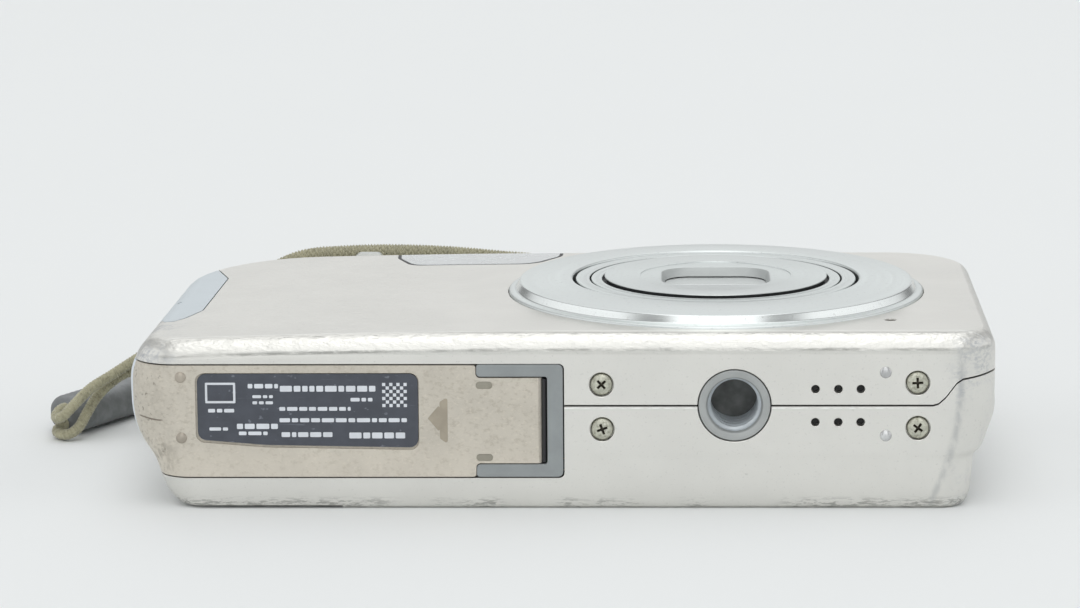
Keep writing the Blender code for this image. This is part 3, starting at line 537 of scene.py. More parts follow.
def place_camera():
    """Set the viewpoint of the photo: far off, a little above and a little to the right."""
    forward = Vector((math.sin(VIEW_YAW) * math.cos(VIEW_TILT),
                      math.cos(VIEW_YAW) * math.cos(VIEW_TILT), -math.sin(VIEW_TILT)))
    right = Vector((math.cos(VIEW_YAW), -math.sin(VIEW_YAW), 0.0))
    up = right.cross(forward)
    rolled_right = right * math.cos(VIEW_ROLL) + up * math.sin(VIEW_ROLL)
    rolled_up = up * math.cos(VIEW_ROLL) - right * math.sin(VIEW_ROLL)
    data = bpy.data.cameras.new("camera")
    data.sensor_width = 36.0
    data.lens = VIEW_LENS
    data.clip_start = 0.02
    data.clip_end = 20.0
    camera = bpy.data.objects.new("camera", data)
    axes = Matrix((rolled_right, rolled_up, -forward)).transposed().to_4x4()
    camera.matrix_world = Matrix.Translation(VIEW_PLACE * MM) @ axes
    bpy.context.scene.collection.objects.link(camera)
    bpy.context.scene.camera = camera


def lay_floor():
    """The pale paper that the camera lies on."""
    bm = bmesh.new()
    bmesh.ops.create_grid(bm, x_segments=4, y_segments=4, size=6.0)
    mesh = bpy.data.meshes.new("floor")
    bm.to_mesh(mesh)
    bm.free()
    floor = bpy.data.objects.new("floor", mesh)
    bpy.context.scene.collection.objects.link(floor)
    paper = Shade("paper", srgb(231, 233, 233), 0.75)
    paper.mottle(0.004, 0.004)
    mesh.materials.append(paper.material)


def hang_light():
    """One soft strip overhead, aimed at the origin."""
    lamp = bpy.data.lights.new("top_light", "AREA")
    lamp.shape = "RECTANGLE"
    lamp.size, lamp.size_y = 0.4, 1.2
    lamp.energy = 1.1
    lamp.color = (1.0, 0.995, 0.98)
    holder = bpy.data.objects.new("top_light", lamp)
    holder.location = (0.0, -0.15, 1.2)
    holder.rotation_euler = (-holder.location).to_track_quat("-Z", "Y").to_euler()
    bpy.context.scene.collection.objects.link(holder)


place_camera()
lay_floor()
studio_world()
hang_light()
bpy.context.scene.view_settings.view_transform = "Standard"


# ---------------------------------------------------------------- mesh helpers
def piece(name, bm, finishes, body="camera_body", slot=None, nodes=(), angle=32.0, bevel=0.0):
    """Turn a bmesh in millimetres into a finished piece that rides on its body."""
    bmesh.ops.remove_doubles(bm, verts=bm.verts, dist=2e-5)
    bmesh.ops.recalc_face_normals(bm, faces=bm.faces)
    bmesh.ops.scale(bm, vec=(MM, MM, MM), verts=bm.verts)
    mesh = bpy.data.meshes.new(name)
    bm.to_mesh(mesh)
    bm.free()
    obj = bpy.data.objects.new(name, mesh)
    bpy.context.scene.collection.objects.link(obj)
    for finish in finishes if isinstance(finishes, (list, tuple)) else (finishes,):
        mesh.materials.append(finish)
    mesh.shade_smooth()
    mesh.set_sharp_from_angle(angle=math.radians(angle))
    if bevel:
        edge = obj.modifiers.new("edge", "BEVEL")
        edge.width = bevel * MM
        edge.segments = 3
        edge.limit_method = "ANGLE"
        edge.angle_limit = math.radians(45.0)
        edge.harden_normals = True
    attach(obj, body)
    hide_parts(*nodes)
    return obj


def along(axis, a, b, h):
    """Place outline point (a, b) at distance h along the named axis."""
    if axis == "Z":
        return (a, b, h)
    if axis == "Y":
        return (a, h, b)
    return (h, a, b)


def rounded_outline(corners, radii, steps=6):
    """Round each corner of a convex or concave outline with a tangent arc."""
    points = []
    count = len(corners)
    for i, corner in enumerate(corners):
        here = Vector(corner)
        to_last = (Vector(corners[i - 1]) - here).normalized()
        to_next = (Vector(corners[(i + 1) % count]) - here).normalized()
        radius = radii[i] if isinstance(radii, (list, tuple)) else radii
        if radius <= 0.0:
            points.append(tuple(here))
            continue
        half = to_last.angle(to_next) / 2
        reach = radius / math.tan(half)
        centre = here + (to_last + to_next).normalized() * (radius / math.sin(half))
        start = here + to_last * reach - centre
        turn = start.angle_signed(here + to_next * reach - centre)
        for k in range(steps + 1):
            a = -turn * k / steps
            points.append((centre.x + start.x * math.cos(a) - start.y * math.sin(a),
                           centre.y + start.x * math.sin(a) + start.y * math.cos(a)))
    return points


def rectangle(x_range, y_range, radius=0.0, steps=5):
    corners = ((x_range[0], y_range[0]), (x_range[1], y_range[0]),
               (x_range[1], y_range[1]), (x_range[0], y_range[1]))
    return rounded_outline(corners, radius, steps)


def circle(centre, radius, segments=48):
    return [(centre[0] + radius * math.cos(2 * math.pi * k / segments),
             centre[1] + radius * math.sin(2 * math.pi * k / segments))
            for k in range(segments)]


def skin(bm, sections, caps=True):
    """Skin a stack of outlines that all have the same number of points."""
    rings = [[bm.verts.new(point) for point in section] for section in sections]
    count = len(rings[0])
    for low, high in zip(rings, rings[1:]):
        for k in range(count):
            bm.faces.new((low[k], low[(k + 1) % count], high[(k + 1) % count], high[k]))
    if caps:
        bm.faces.new(list(reversed(rings[0])))
        bm.faces.new(rings[-1])
    return rings


def prism(bm, outline, low, high, axis="Z"):
    skin(bm, [[along(axis, a, b, h) for a, b in outline] for h in (low, high)])


def lathe(bm, profile, centre, axis="Z", segments=96, finish=lambda k: 0):
    """Turn a closed profile of (radius, height) points about an axis."""
    rings = []
    for radius, height in profile:
        if radius < 1e-6:
            rings.append([bm.verts.new(along(axis, centre[0], centre[1], height))])
        else:
            rings.append([bm.verts.new(along(axis, a, b, height))
                          for a, b in circle(centre, radius, segments)])
    for j, (ring, following) in enumerate(zip(rings, rings[1:] + rings[:1])):
        if len(ring) == 1 and len(following) == 1:
            continue
        for k in range(segments):
            corners = [ring[k % len(ring)], ring[(k + 1) % len(ring)],
                       following[(k + 1) % len(following)], following[k % len(following)]]
            face = bm.faces.new(list(dict.fromkeys(corners)))
            face.material_index = finish(j)


def lathed(name, profile, centre, finishes, axis="Z", segments=96, finish=lambda k: 0, **rest):
    """A piece that is one turned profile."""
    bm = bmesh.new()
    lathe(bm, profile, centre, axis, segments, finish)
    piece(name, bm, finishes, **rest)


def cut(target, bm, operation="DIFFERENCE"):
    """Cut the target, a bmesh in millimetres, with another one. Both end up freed.

    Only the tool's normals are made outward: a hollow target's inner skin faces inward.
    """
    bmesh.ops.recalc_face_normals(bm, faces=bm.faces)
    objects = []
    for made in (target, bm):
        bmesh.ops.remove_doubles(made, verts=made.verts, dist=1e-5)
        mesh = bpy.data.meshes.new("cut")
        made.to_mesh(mesh)
        made.free()
        obj = bpy.data.objects.new("cut", mesh)
        bpy.context.scene.collection.objects.link(obj)
        objects.append(obj)
    modifier = objects[0].modifiers.new("cut", "BOOLEAN")
    modifier.operation = operation
    modifier.object = objects[1]
    bpy.context.view_layer.update()
    graph = bpy.context.evaluated_depsgraph_get()
    result = bmesh.new()
    result.from_mesh(objects[0].evaluated_get(graph).to_mesh())
    for obj in objects:
        mesh = obj.data
        bpy.data.objects.remove(obj, do_unlink=True)
        bpy.data.meshes.remove(mesh)
    return result


def prism_cutter(*prisms):
    bm = bmesh.new()
    for item in prisms:
        prism(bm, *item)
    return bm


# ---------------------------------------------------------------- cords
def smooth_route(route, spacing):
    """Points at even spacing along a Catmull-Rom curve through the route."""
    knots = [Vector(p) for p in route]
    knots = [2 * knots[0] - knots[1]] + knots + [2 * knots[-1] - knots[-2]]
    dense = []
    for a, b, c, d in zip(knots, knots[1:], knots[2:], knots[3:]):
        for k in range(24):
            t = k / 24
            dense.append(0.5 * (2 * b + (c - a) * t + (2 * a - 5 * b + 4 * c - d) * t ** 2
                                + (3 * b - a - 3 * c + d) * t ** 3))
    dense.append(knots[-2])
    lengths = [0.0]
    for a, b in zip(dense, dense[1:]):
        lengths.append(lengths[-1] + (b - a).length)
    count = max(round(lengths[-1] / spacing), 2)
    even = []
    k = 0
    for step in range(count + 1):
        goal = lengths[-1] * step / count
        while k < len(dense) - 2 and lengths[k + 1] < goal:
            k += 1
        part = (goal - lengths[k]) / max(lengths[k + 1] - lengths[k], 1e-9)
        even.append(dense[k].lerp(dense[k + 1], min(part, 1.0)))
    return even


def carried_frames(points):
    """A side and an up direction at each point, carried along without twist."""
    frames = []
    side = Vector((0.0, 0.0, 1.0)).cross(points[1] - points[0])
    for k, point in enumerate(points):
        ahead = (points[min(k + 1, len(points) - 1)] - points[max(k - 1, 0)]).normalized()
        side = (side - ahead * side.dot(ahead)).normalized()
        frames.append((point, side, ahead.cross(side)))
    return frames


def braided_cord(name, route, diameter, carriers, pitch, slot):
    """A round braid: strands wound both ways that pass over and under each other."""
    step = 0.2
    points = smooth_route(route, step)
    frames = carried_frames(points)
    wide = math.pi * diameter / carriers * 0.40
    thick = diameter * 0.115
    middle_r = diameter / 2 - thick * 1.75
    bm = bmesh.new()
    sides = 6
    for hand in (1, -1):
        for strand in range(carriers):
            rings = []
            for k, (point, side, up) in enumerate(frames):
                way = k * step
                angle = 2 * math.pi * (strand / carriers + hand * way / pitch)
                lift = hand * thick * 0.75 * math.cos(2 * math.pi * carriers * way / pitch)
                out = side * math.cos(angle) + up * math.sin(angle)
                across = up * math.cos(angle) - side * math.sin(angle)
                centre = point + out * (middle_r + lift)
                rings.append([centre + across * (wide * math.cos(2 * math.pi * n / sides))
                              + out * (thick * math.sin(2 * math.pi * n / sides))
                              for n in range(sides)])
            skin(bm, rings)
    core = middle_r * 0.86
    skin(bm, [[point + side * (core * math.cos(2 * math.pi * n / 10))
               + up * (core * math.sin(2 * math.pi * n / 10)) for n in range(10)]
              for point, side, up in frames[::3] + frames[-1:]])
    obj = piece(f"{name}_braid", bm, KHAKI, slot=slot, nodes=(name,), angle=60.0)


def sleeve():
    """The soft moulded sleeve that joins the loop to the wrist band."""
    side = Vector((-SLEEVE_DIRECTION.y, SLEEVE_DIRECTION.x, 0.0))
    bm = bmesh.new()
    sections = []
    half_w, half_h = 2.9, 2.1
    stations = [(-0.8, 0.45), (-0.72, 0.62), (-0.5, 0.78), (-0.1, 0.90), (0.4, 0.97), (1.0, 1.0)]
    stations += [(1.0 + 0.5 * k, 1.0 - 0.035 * (k % 2)) for k in range(1, 25)]
    stations += [(14.0, 1.0), (SLEEVE_LENGTH - 5.0, 0.98)]
    stations += [(SLEEVE_LENGTH - 4.0 + 0.5 * k, 1.0 - 0.03 * (k % 2)) for k in range(6)]
    stations += [(SLEEVE_LENGTH - 0.5, 0.97), (SLEEVE_LENGTH - 0.12, 0.9),
                 (SLEEVE_LENGTH, 0.8), (SLEEVE_LENGTH, 0.55), (SLEEVE_LENGTH - 0.9, 0.5)]
    for distance, scale in stations:
        centre = SLEEVE_FRONT + SLEEVE_DIRECTION * distance
        outline = rectangle((-half_w * scale, half_w * scale), (-half_h * scale, half_h * scale),
                            1.7 * scale, 8)
        sections.append([tuple(centre + side * a + Vector((0.0, 0.0, b))) for a, b in outline])
    skin(bm, sections)
    return piece("strap_sleeve_skin", bm, SLEEVE, slot="sleeve_grey", nodes=("strap_sleeve",),
                 angle=50.0)


def strap():
    """The thin loop, its sleeve and the braided band."""
    made = sleeve()
    braided_cord("strap_loop", LOOP_ROUTE, LOOP_D, 5, 3.4, "strap_khaki")
    braided_cord("wrist_band", BAND_ROUTE, BAND_D, 8, 6.0, "strap_khaki")


strap()


# ---------------------------------------------------------------- casing
def level_at(z):
    """Left, right and face insets of the casing at a height, on a smooth curve."""
    rows = CASING_LEVELS
    k = max(j for j in range(len(rows) - 1) if rows[j][0] <= z)
    before, low, high, after = (rows[min(max(k + j, 0), len(rows) - 1)] for j in (-1, 0, 1, 2))
    run = high[0] - low[0]
    t = (z - low[0]) / run
    found = []
    for axis in (1, 2, 3):
        slopes = []
        for first, last in ((before, high), (low, after)):
            slopes.append((last[axis] - first[axis]) / max(last[0] - first[0], 1e-9) * run)
        a, b = low[axis], high[axis]
        found.append((2 * t ** 3 - 3 * t ** 2 + 1) * a + (t ** 3 - 2 * t ** 2 + t) * slopes[0]
                     + (3 * t ** 2 - 2 * t ** 3) * b + (t ** 3 - t ** 2) * slopes[1])
    return found


def crown_drop(x, z):
    """How far the front face has fallen at a place: it falls towards the left end."""
    weight = min(max((z - 13.0) / 5.0, 0.0), 1.0)
    fall = FALL * (max(FALL_FROM_X - x, 0.0) / FALL_RUN) ** 2
    return fall * weight * weight * (3 - 2 * weight)


def round_in(z, start, reach):
    """How far a side has come in at a height, on its quarter-ellipse round."""
    part = min(max((z - start) / (BODY_T - start), 0.0), 1.0)
    return reach * (1 - math.sqrt(1 - part * part))


def casing(inset=0.0, heights=CASING_HEIGHTS, arc=5, long_cuts=44, short_cuts=18):
    """The closed casing as a bmesh, with evenly divided end faces."""
    squeeze = (BODY_T - 2 * inset) / BODY_T
    bm = bmesh.new()
    sections = []
    for z in heights:
        left, right, face = level_at(z)
        near = face + round_in(z, *ROUND_NEAR) + inset
        far = face + round_in(z, *ROUND_FAR) + inset
        left += round_in(z, *ROUND_LEFT) + inset
        right += round_in(z, *ROUND_RIGHT) + inset
        left_x, right_x = LEFT_X + left, RIGHT_X - right
        low_y, high_y = UNDER_Y + near, TOP_Y - far
        corners = ((left_x, low_y), (right_x, low_y), (right_x, high_y),
                   (left_x + LEFT_LEAN, high_y))
        shrink = inset + max(left, right, near) * 0.4
        arcs = rounded_outline(corners, [max(r - shrink, 1.6) for r in CORNER_R], 2 * arc)
        per = 2 * arc + 1
        outline = []
        for i, cuts in enumerate((long_cuts, short_cuts, long_cuts, short_cuts)):
            outline += arcs[i * per:(i + 1) * per]
            start, end = Vector(arcs[(i + 1) * per - 1]), Vector(arcs[(i + 1) * per % len(arcs)])
            outline += [tuple(start.lerp(end, k / cuts)) for k in range(1, cuts)]
        height = inset + z * squeeze
        sections.append([(x, y, height - crown_drop(x, height))
                         for x, y in outline[arc:] + outline[:arc]])
    rings = skin(bm, sections, caps=False)
    nx, ny = 2 * arc + long_cuts, 2 * arc + short_cuts
    fill_end(bm, rings[0], nx, ny, True)
    fill_end(bm, rings[-1], nx, ny, False)
    return bm


def fill_end(bm, ring, nx, ny, flip):
    """Close a ring with a grid of nx by ny faces that follows its four sides."""
    count = len(ring)
    grid = [[None] * (ny + 1) for _ in range(nx + 1)]
    for i in range(nx + 1):
        grid[i][0] = ring[i]
        grid[i][ny] = ring[(2 * nx + ny - i) % count]
    for j in range(ny + 1):
        grid[nx][j] = ring[nx + j]
        grid[0][j] = ring[(count - j) % count]
    base = ring[0].co.z + crown_drop(ring[0].co.x, ring[0].co.z)
    for i in range(1, nx):
        for j in range(1, ny):
            u, v = i / nx, j / ny
            low, high = grid[i][0].co, grid[i][ny].co
            left, right = grid[0][j].co, grid[nx][j].co
            ends = (grid[0][0].co * ((1 - u) * (1 - v)) + grid[nx][0].co * (u * (1 - v))
                    + grid[0][ny].co * ((1 - u) * v) + grid[nx][ny].co * (u * v))
            place = low * (1 - v) + high * v + left * (1 - u) + right * u - ends
            place.z = base - crown_drop(place.x, base)
            grid[i][j] = bm.verts.new(place)
    for i in range(nx):
        for j in range(ny):
            face = [grid[i][j], grid[i + 1][j], grid[i + 1][j + 1], grid[i][j + 1]]
            bm.faces.new(face[::-1] if flip else face)


def shell():
    """The casing with its hollow."""
    outer = casing()
    bmesh.ops.recalc_face_normals(outer, faces=outer.faces)
    inner = casing(WALL, [row[0] for row in CASING_LEVELS] + [18.9, 19.6, 20.0], 2, 16, 8)
    inner_mesh = bpy.data.meshes.new("hollow")
    bmesh.ops.recalc_face_normals(inner, faces=inner.faces)
    bmesh.ops.reverse_faces(inner, faces=inner.faces)
    inner.to_mesh(inner_mesh)
    inner.free()
    outer.from_mesh(inner_mesh)
    bpy.data.meshes.remove(inner_mesh)
    return outer


def seam_side(shift, far_z):
    """A prism that holds what lies between the stepped seam, shifted in z, and far_z."""
    seam = [(-BEYOND, SEAM_Z + shift)]
    seam += [(x, SEAM_Z + rise + shift) for x, rise in SEAM_RISE]
    return seam + [(BEYOND, far_z), (-BEYOND, far_z)], -BEYOND, BEYOND, "Y"


def above_seam(bm):
    return cut(bm, prism_cutter(seam_side(SEAM_HALF, 40.0)), "INTERSECT")


def side_openings():
    """Prisms through the left end, for the strap bar and for the USB port."""
    return ((rectangle((8.6, 16.0), (6.7, 12.6), 1.2), -52.0, -43.9, "X"),
            (rectangle((-9.15, 0.15), (12.15, 15.45), 0.6), -52.0, -45.5, "X"))


def trim_outline(gap):
    """Outline of the grip trim, grown by the gap."""
    corners = ((-BEYOND, -9.0 - gap), (-46.4, -12.0 - gap), (-45.2, -17.8 - gap),
               (-43.3 + gap, -14.5 - gap), (-41.8 + gap, -10.3), (-40.9 + gap, 9.8),
               (-43.0 + gap, 16.8 + gap), (-BEYOND, 16.8 + gap))
    return rounded_outline(corners, (0.0, 1.5, 0.75, 4.0, 2.5, 1.6, 1.0, 0.0), 8)


def flash_outline(gap):
    """Outline of the flash window, grown by the gap."""
    corners = ((-20.9 - gap, 40.0), (-20.6 - gap, 20.4), (-18.7 - gap, 15.7 - gap),
               (-4.4 + gap, 15.7 - gap), (-1.2 + gap, 20.6), (-0.6 + gap, 40.0))
    return rounded_outline(corners, (0.0, 4.0, 2.2, 4.0, 3.0, 0.0), 8)


def door_outline(gap):
    """Outline of the battery door with its tongue, shrunk by the gap."""
    return rounded_outline(
        ((-BEYOND, DOOR_Z[0] + gap), (DOOR_RIGHT_X - gap, DOOR_Z[0] + gap),
         (DOOR_RIGHT_X - gap, TONGUE_Z[0] + gap), (TONGUE_END_X, TONGUE_Z[0] + gap),
         (TONGUE_END_X, TONGUE_Z[1] - gap), (DOOR_RIGHT_X - gap, TONGUE_Z[1] - gap),
         (DOOR_RIGHT_X - gap, DOOR_Z[1] - gap), (-BEYOND, DOOR_Z[1] - gap)),
        (0.0, 0.3, 0.5, 0.35, 0.35, 0.5, 0.3, 0.0), 5)


def flared_hole(bm, centre, radius, flare, depth, core=None):
    """A hole in the underside with a small lead-in at its mouth, and a narrower core."""
    profile = [(0.0, UNDER_Y - 0.6), (radius + flare + 0.6, UNDER_Y - 0.6),
               (radius, UNDER_Y + flare), (radius, UNDER_Y + depth)]
    if core:
        profile += [(core, UNDER_Y + depth), (core, UNDER_Y + 2.0), (0.0, UNDER_Y + 2.0)]
    else:
        profile += [(0.0, UNDER_Y + depth)]
    lathe(bm, profile, centre, "Y", 48)


def cover_cutter(speaker_z):
    """Everything the two covers share: door opening, holes and side openings."""
    opening = rectangle((-BEYOND, BEZEL_X[1] + 0.14), (DOOR_Z[0] - 0.10, DOOR_Z[1] + 0.12),
                        (0.0, 0.6, 0.6, 0.0))
    bm = prism_cutter((opening, UNDER_Y - 2, DOOR_WRAP_Y + 0.12, "Y"))
    for screw_at in SCREWS:
        flared_hole(bm, (screw_at.x, screw_at.z), 1.38, 0.06, 0.95, 1.0)
    flared_hole(bm, (SOCKET.x, SOCKET.z), 4.14, 0.06, 2.0)
    for x in SPEAKER_HOLE_X:
        flared_hole(bm, (x, speaker_z), 0.47, 0.05, 2.0)
    for item in side_openings():
        prism(bm, *item)
    lathe(bm, ((0.0, TOP_Y - 3), (5.0, TOP_Y - 3), (5.0, TOP_Y + 2), (0.0, TOP_Y + 2)),
          (SHUTTER.x, SHUTTER.z), "Y", 64)
    lathe(bm, ((0.0, TOP_Y - 3), (2.75, TOP_Y - 3), (2.75, TOP_Y - 0.06), (3.3, TOP_Y + 0.5),
               (0.0, TOP_Y + 0.5)), (POWER.x, POWER.z), "Y", 64)
    return bm


def pip(bm, centre, radius, height):
    """A small dome pressed out of the underside."""
    rings = 6
    profile = [(radius * math.cos(math.pi / 2 * k / rings),
                UNDER_Y - height * math.sin(math.pi / 2 * k / rings)) for k in range(rings)]
    lathe(bm, [(0.0, UNDER_Y + 0.3), (radius, UNDER_Y + 0.3)] + profile + [(0.0, UNDER_Y - height)],
          centre, "Y", 24)


def front_cover(bm):
    bm = above_seam(bm)
    tool = prism_cutter((trim_outline(0.14), SEAM_Z - 5, 40.0), (flash_outline(0.42), 17.3, 40.0))
    lathe(tool, ((0.0, 15.0), (19.6, 15.0), (19.6, 19.5), (24.36, 19.5), (24.36, 19.94),
                 (24.9, 20.5), (0.0, 20.5)), LENS, "Z", 192)
    lathe(tool, ((0.0, 17.0), (0.72, 17.0), (0.72, 19.96), (0.8, 20.5), (0.0, 20.5)),
          MIC_HOLE, "Z", 32)
    bm = cut(bm, tool)
    bm = cut(bm, cover_cutter(SPEAKER_HOLE_Z[1]))
    piece("front_cover_skin", bm, SILVER, slot="cover_silver", nodes=("front_cover",))


def rear_cover(bm):
    bm = cut(bm, prism_cutter(seam_side(-SEAM_HALF, -20.0)), "INTERSECT")
    bm = cut(bm, prism_cutter((rectangle((-BEYOND, RECESS_EDGE_X), (-BEYOND, BEYOND)), -2.0, 0.35)))
    tool = prism_cutter((rectangle((SCREEN_X[0] - 0.15, SCREEN_X[1] + 0.15),
                                   (SCREEN_Y[0] - 0.15, SCREEN_Y[1] + 0.15), 1.4, 8), -2.0, 3.0))
    rounds = [(middle(name), 2.62, 2.45, 48) for name in REAR_BUTTONS] + [(PAD, 7.6, 7.4, 96)]
    for spot, mouth, bore, segments in rounds:
        lathe(tool, ((0.0, -0.5), (mouth, -0.5), (mouth, 0.3), (bore, 0.5), (bore, 3.0),
                     (0.0, 3.0)), spot, "Z", segments)
    bm = cut(bm, tool)
    bm = cut(bm, cover_cutter(SPEAKER_HOLE_Z[0]))
    piece("rear_cover_skin", bm, SILVER, slot="cover_silver", nodes=("rear_cover",))


def grip_trim(bm):
    bm = cut(above_seam(bm), prism_cutter((trim_outline(0.0), 0.0, 40.0)), "INTERSECT")
    bm = cut(bm, prism_cutter(*side_openings()))
    hole = bmesh.new()
    lathe(hole, ((0.0, 17.0), (0.32, 17.0), (0.32, 22.0), (0.0, 22.0)), (-45.1, -4.3), "Z", 24)
    piece("grip_trim", cut(bm, hole), TRIM, slot="trim_silver", nodes=("side_trim",))


def flash_window(bm):
    bm = cut(bm, prism_cutter((flash_outline(0.0), 17.6, 40.0)), "INTERSECT")
    piece("flash_pane", bm, PANE, slot="clear_glass", nodes=("flash_window",))
    # A black ring that fills the gap round the pane, as painted shade in that gap.
    gap_shade = cut(casing(0.04), prism_cutter((flash_outline(0.41), 17.0, 40.0)), "INTERSECT")
    gap_shade = cut(gap_shade, prism_cutter((flash_outline(0.01), 16.0, 41.0)))
    piece("flash_gap_shade", gap_shade, BLACK, slot="black_plastic")


def door_skin(bm):
    """The door's skin, with room for its label and pads and a chamfer across its tongue."""
    bm = cut(bm, prism_cutter((door_outline(0.05), UNDER_Y - 2, DOOR_WRAP_Y, "Y")), "INTERSECT")
    tool = prism_cutter((label_outline((0.22, 0.09, 0.09, 0.27)), UNDER_Y - 2, UNDER_Y + 0.3, "Y"))
    for z in DOOR_PAD_Z:
        prism(tool, rectangle((-9.4, -7.5), (z - 0.42, z + 0.42), 0.4, 6), UNDER_Y - 2,
              UNDER_Y + 0.12, "Y")
    bm = cut(bm, tool)
    chamfer = ((TONGUE_END_X + 0.3, UNDER_Y + 0.80), (TONGUE_END_X - 0.7, UNDER_Y - 0.20),
               (TONGUE_END_X + 0.3, UNDER_Y - 0.20))
    bm = cut(bm, prism_cutter((chamfer, TONGUE_Z[0] - 0.5, TONGUE_Z[1] + 0.5)))
    piece("door_skin", bm, CHAMPAGNE, body="door", slot="door_champagne",
          nodes=("battery_door",))


def casing_pieces():
    whole = shell()
    for make in (front_cover, rear_cover, grip_trim, flash_window, door_skin):
        make(whole.copy())
    whole.free()


def label_outline(grow):
    """Outline of the label, grown by (left, right, top, bottom)."""
    left, right, top, bottom = grow
    corners = ((LABEL_X[0] - left, 7.98 - bottom), (-33.0, 7.36 - bottom),
               (LABEL_X[1] + right, 7.05 - bottom), (LABEL_X[1] + right, 15.5 + top),
               (LABEL_X[0] - left, 15.5 + top))
    return rounded_outline(corners, (1.0, 6.0, 1.0, 1.0, 1.0), 6)


def inlay(bm, outline, proud, sunk=0.03):
    """A thin prism in the underside that stands proud by one amount and is sunk by the other."""
    prism(bm, outline, UNDER_Y - proud, UNDER_Y + sunk, "Y")


def label():
    """The label with generic marks: dashed lines, an empty frame and a checker."""
    card = bmesh.new()
    inlay(card, label_outline((0.0, 0.0, 0.0, 0.0)), -0.02, 0.25)
    piece("label_card", card, LABEL, body="door", slot="label_dark", nodes=("label_plate",),
          bevel=0.04)
    bars = bmesh.new()
    draw = random.Random(7)
    lines = ((-39.4, -36.2, 11.3, 0.34), (-34.9, -31.5, 14.1, 0.42), (-34.4, -32.1, 12.9, 0.28),
             (-34.4, -32.1, 12.2, 0.28), (-39.3, -37.2, 9.2, 0.30), (-36.2, -31.6, 9.5, 0.50),
             (-36.0, -32.6, 8.7, 0.34), (-31.3, -20.6, 13.8, 0.55), (-23.4, -20.8, 12.55, 0.34),
             (-31.4, -23.4, 11.5, 0.36), (-31.4, -17.0, 10.2, 0.38), (-31.2, -25.2, 8.55, 0.46),
             (-23.6, -17.0, 8.45, 0.56))
    for left, right, z, half in lines:
        start = left
        while start < right - 0.25:
            end = min(start + draw.uniform(0.45, 1.5), right)
            inlay(bars, rectangle((start, end), (z - half * 0.6, z + half * 0.6), 0.1, 2), 0.004)
            start = end + 0.2
    for low, high in ((12.15, 12.4), (14.25, 14.5)):
        inlay(bars, rectangle((-39.7, -36.3), (low, high), 0.1, 2), 0.004)
    for start in (-39.7, -36.55):
        inlay(bars, rectangle((start, start + 0.25), (12.3, 14.35), 0.1, 2), 0.005)
    for column in range(7):
        for row in range(7):
            if (column + row) % 2 == 0:
                x, z = -19.85 + 0.4 * column, 11.7 + 0.4 * row
                inlay(bars, rectangle((x, x + 0.36), (z, z + 0.36)), 0.004)
    piece("label_bars", bars, LABEL_PALE, body="door", slot="label_dark")


def door_details():
    """The arrow, studs and pads on the door."""
    arrow = bmesh.new()
    inlay(arrow, rounded_outline(((-14.8, 10.4), (-13.45, 8.8), (-13.45, 12.0)), 0.12, 3),
          0.006, 0.05)
    inlay(arrow, rounded_outline(((-13.45, 8.1), (-12.55, 7.45), (-12.55, 12.84), (-13.45, 12.3)),
                                 0.2, 3), 0.007, 0.05)
    piece("door_arrow", arrow, DOOR_MARK, body="door", slot="door_champagne")
    studs = bmesh.new()
    for z in (15.1, 8.16):
        pip(studs, (-42.45, z), 0.62, 0.24)
    piece("door_studs", studs, DOOR_STUD, body="door", slot="door_champagne")
    pads = bmesh.new()
    for z in DOOR_PAD_Z:
        inlay(pads, rectangle((-9.36, -7.54), (z - 0.38, z + 0.38), 0.36, 6), -0.07, 0.3)
    piece("door_pads", pads, DOOR_PAD, body="door", slot="door_champagne")


def door_bezel():
    """The grey U round the door's tongue."""
    low_z, high_z = TONGUE_Z[0] - 0.07, TONGUE_Z[1] + 0.07
    u_shape = ((BEZEL_X[0], 3.66), (BEZEL_X[1], 3.66), (BEZEL_X[1], 16.54), (BEZEL_X[0], 16.54),
               (BEZEL_X[0], high_z), (BEZEL_WINDOW_X, high_z), (BEZEL_WINDOW_X, low_z),
               (BEZEL_X[0], low_z))
    bm = bmesh.new()
    inlay(bm, rounded_outline(u_shape, (0.35, 0.6, 0.6, 0.35, 0.45, 0.3, 0.3, 0.45), 6),
          -0.03, WALL)
    piece("bezel_u", bm, SLATE, slot="bezel_slate", nodes=("door_bezel",), bevel=0.1)


# ---------------------------------------------------------------- underside fittings
def screw(number, centre, turn):
    """A pan head with a turned edge and a tapered cross recess."""
    head = UNDER_Y + 0.04
    profile = ((0.0, head), (0.75, head + 0.01), (1.02, head + 0.05), (1.16, head + 0.13),
               (1.24, head + 0.24), (1.26, head + 0.34), (1.26, head + 0.8), (0.7, head + 0.8),
               (0.7, UNDER_Y + 4.2), (0.0, UNDER_Y + 4.6))
    bm = bmesh.new()
    lathe(bm, profile, (centre.x, centre.z), "Y", 64)
    for quarter in (0, 1):
        angle = turn + quarter * math.pi / 2
        way = Vector((math.cos(angle), math.sin(angle)))
        side = Vector((-way.y, way.x))
        tool = bmesh.new()
        sections = []
        for depth, half, width in ((-0.2, 0.72, 0.17), (0.0, 0.62, 0.14), (0.5, 0.26, 0.09)):
            sections.append([(centre.x + way.x * a + side.x * b, head + depth,
                              centre.z + way.y * a + side.y * b)
                             for a, b in ((-half, -width), (half, -width), (half, width),
                                          (-half, width))])
        skin(tool, sections)
        bm = cut(bm, tool)
    for face in bm.faces:
        place = face.calc_center_median()
        deep = place.y - head
        inside = math.hypot(place.x - centre.x, place.z - centre.z) < 0.72
        sloped = deep > 0.012 and abs(face.normal.y) < 0.999
        if inside and (sloped or 0.2 < deep < 0.7):
            face.material_index = 1
    piece(f"screw_{number}", bm, (NICKEL, GRIME_AND_SHADE), slot="steel", nodes=(f"bottom_screw_{number}",))


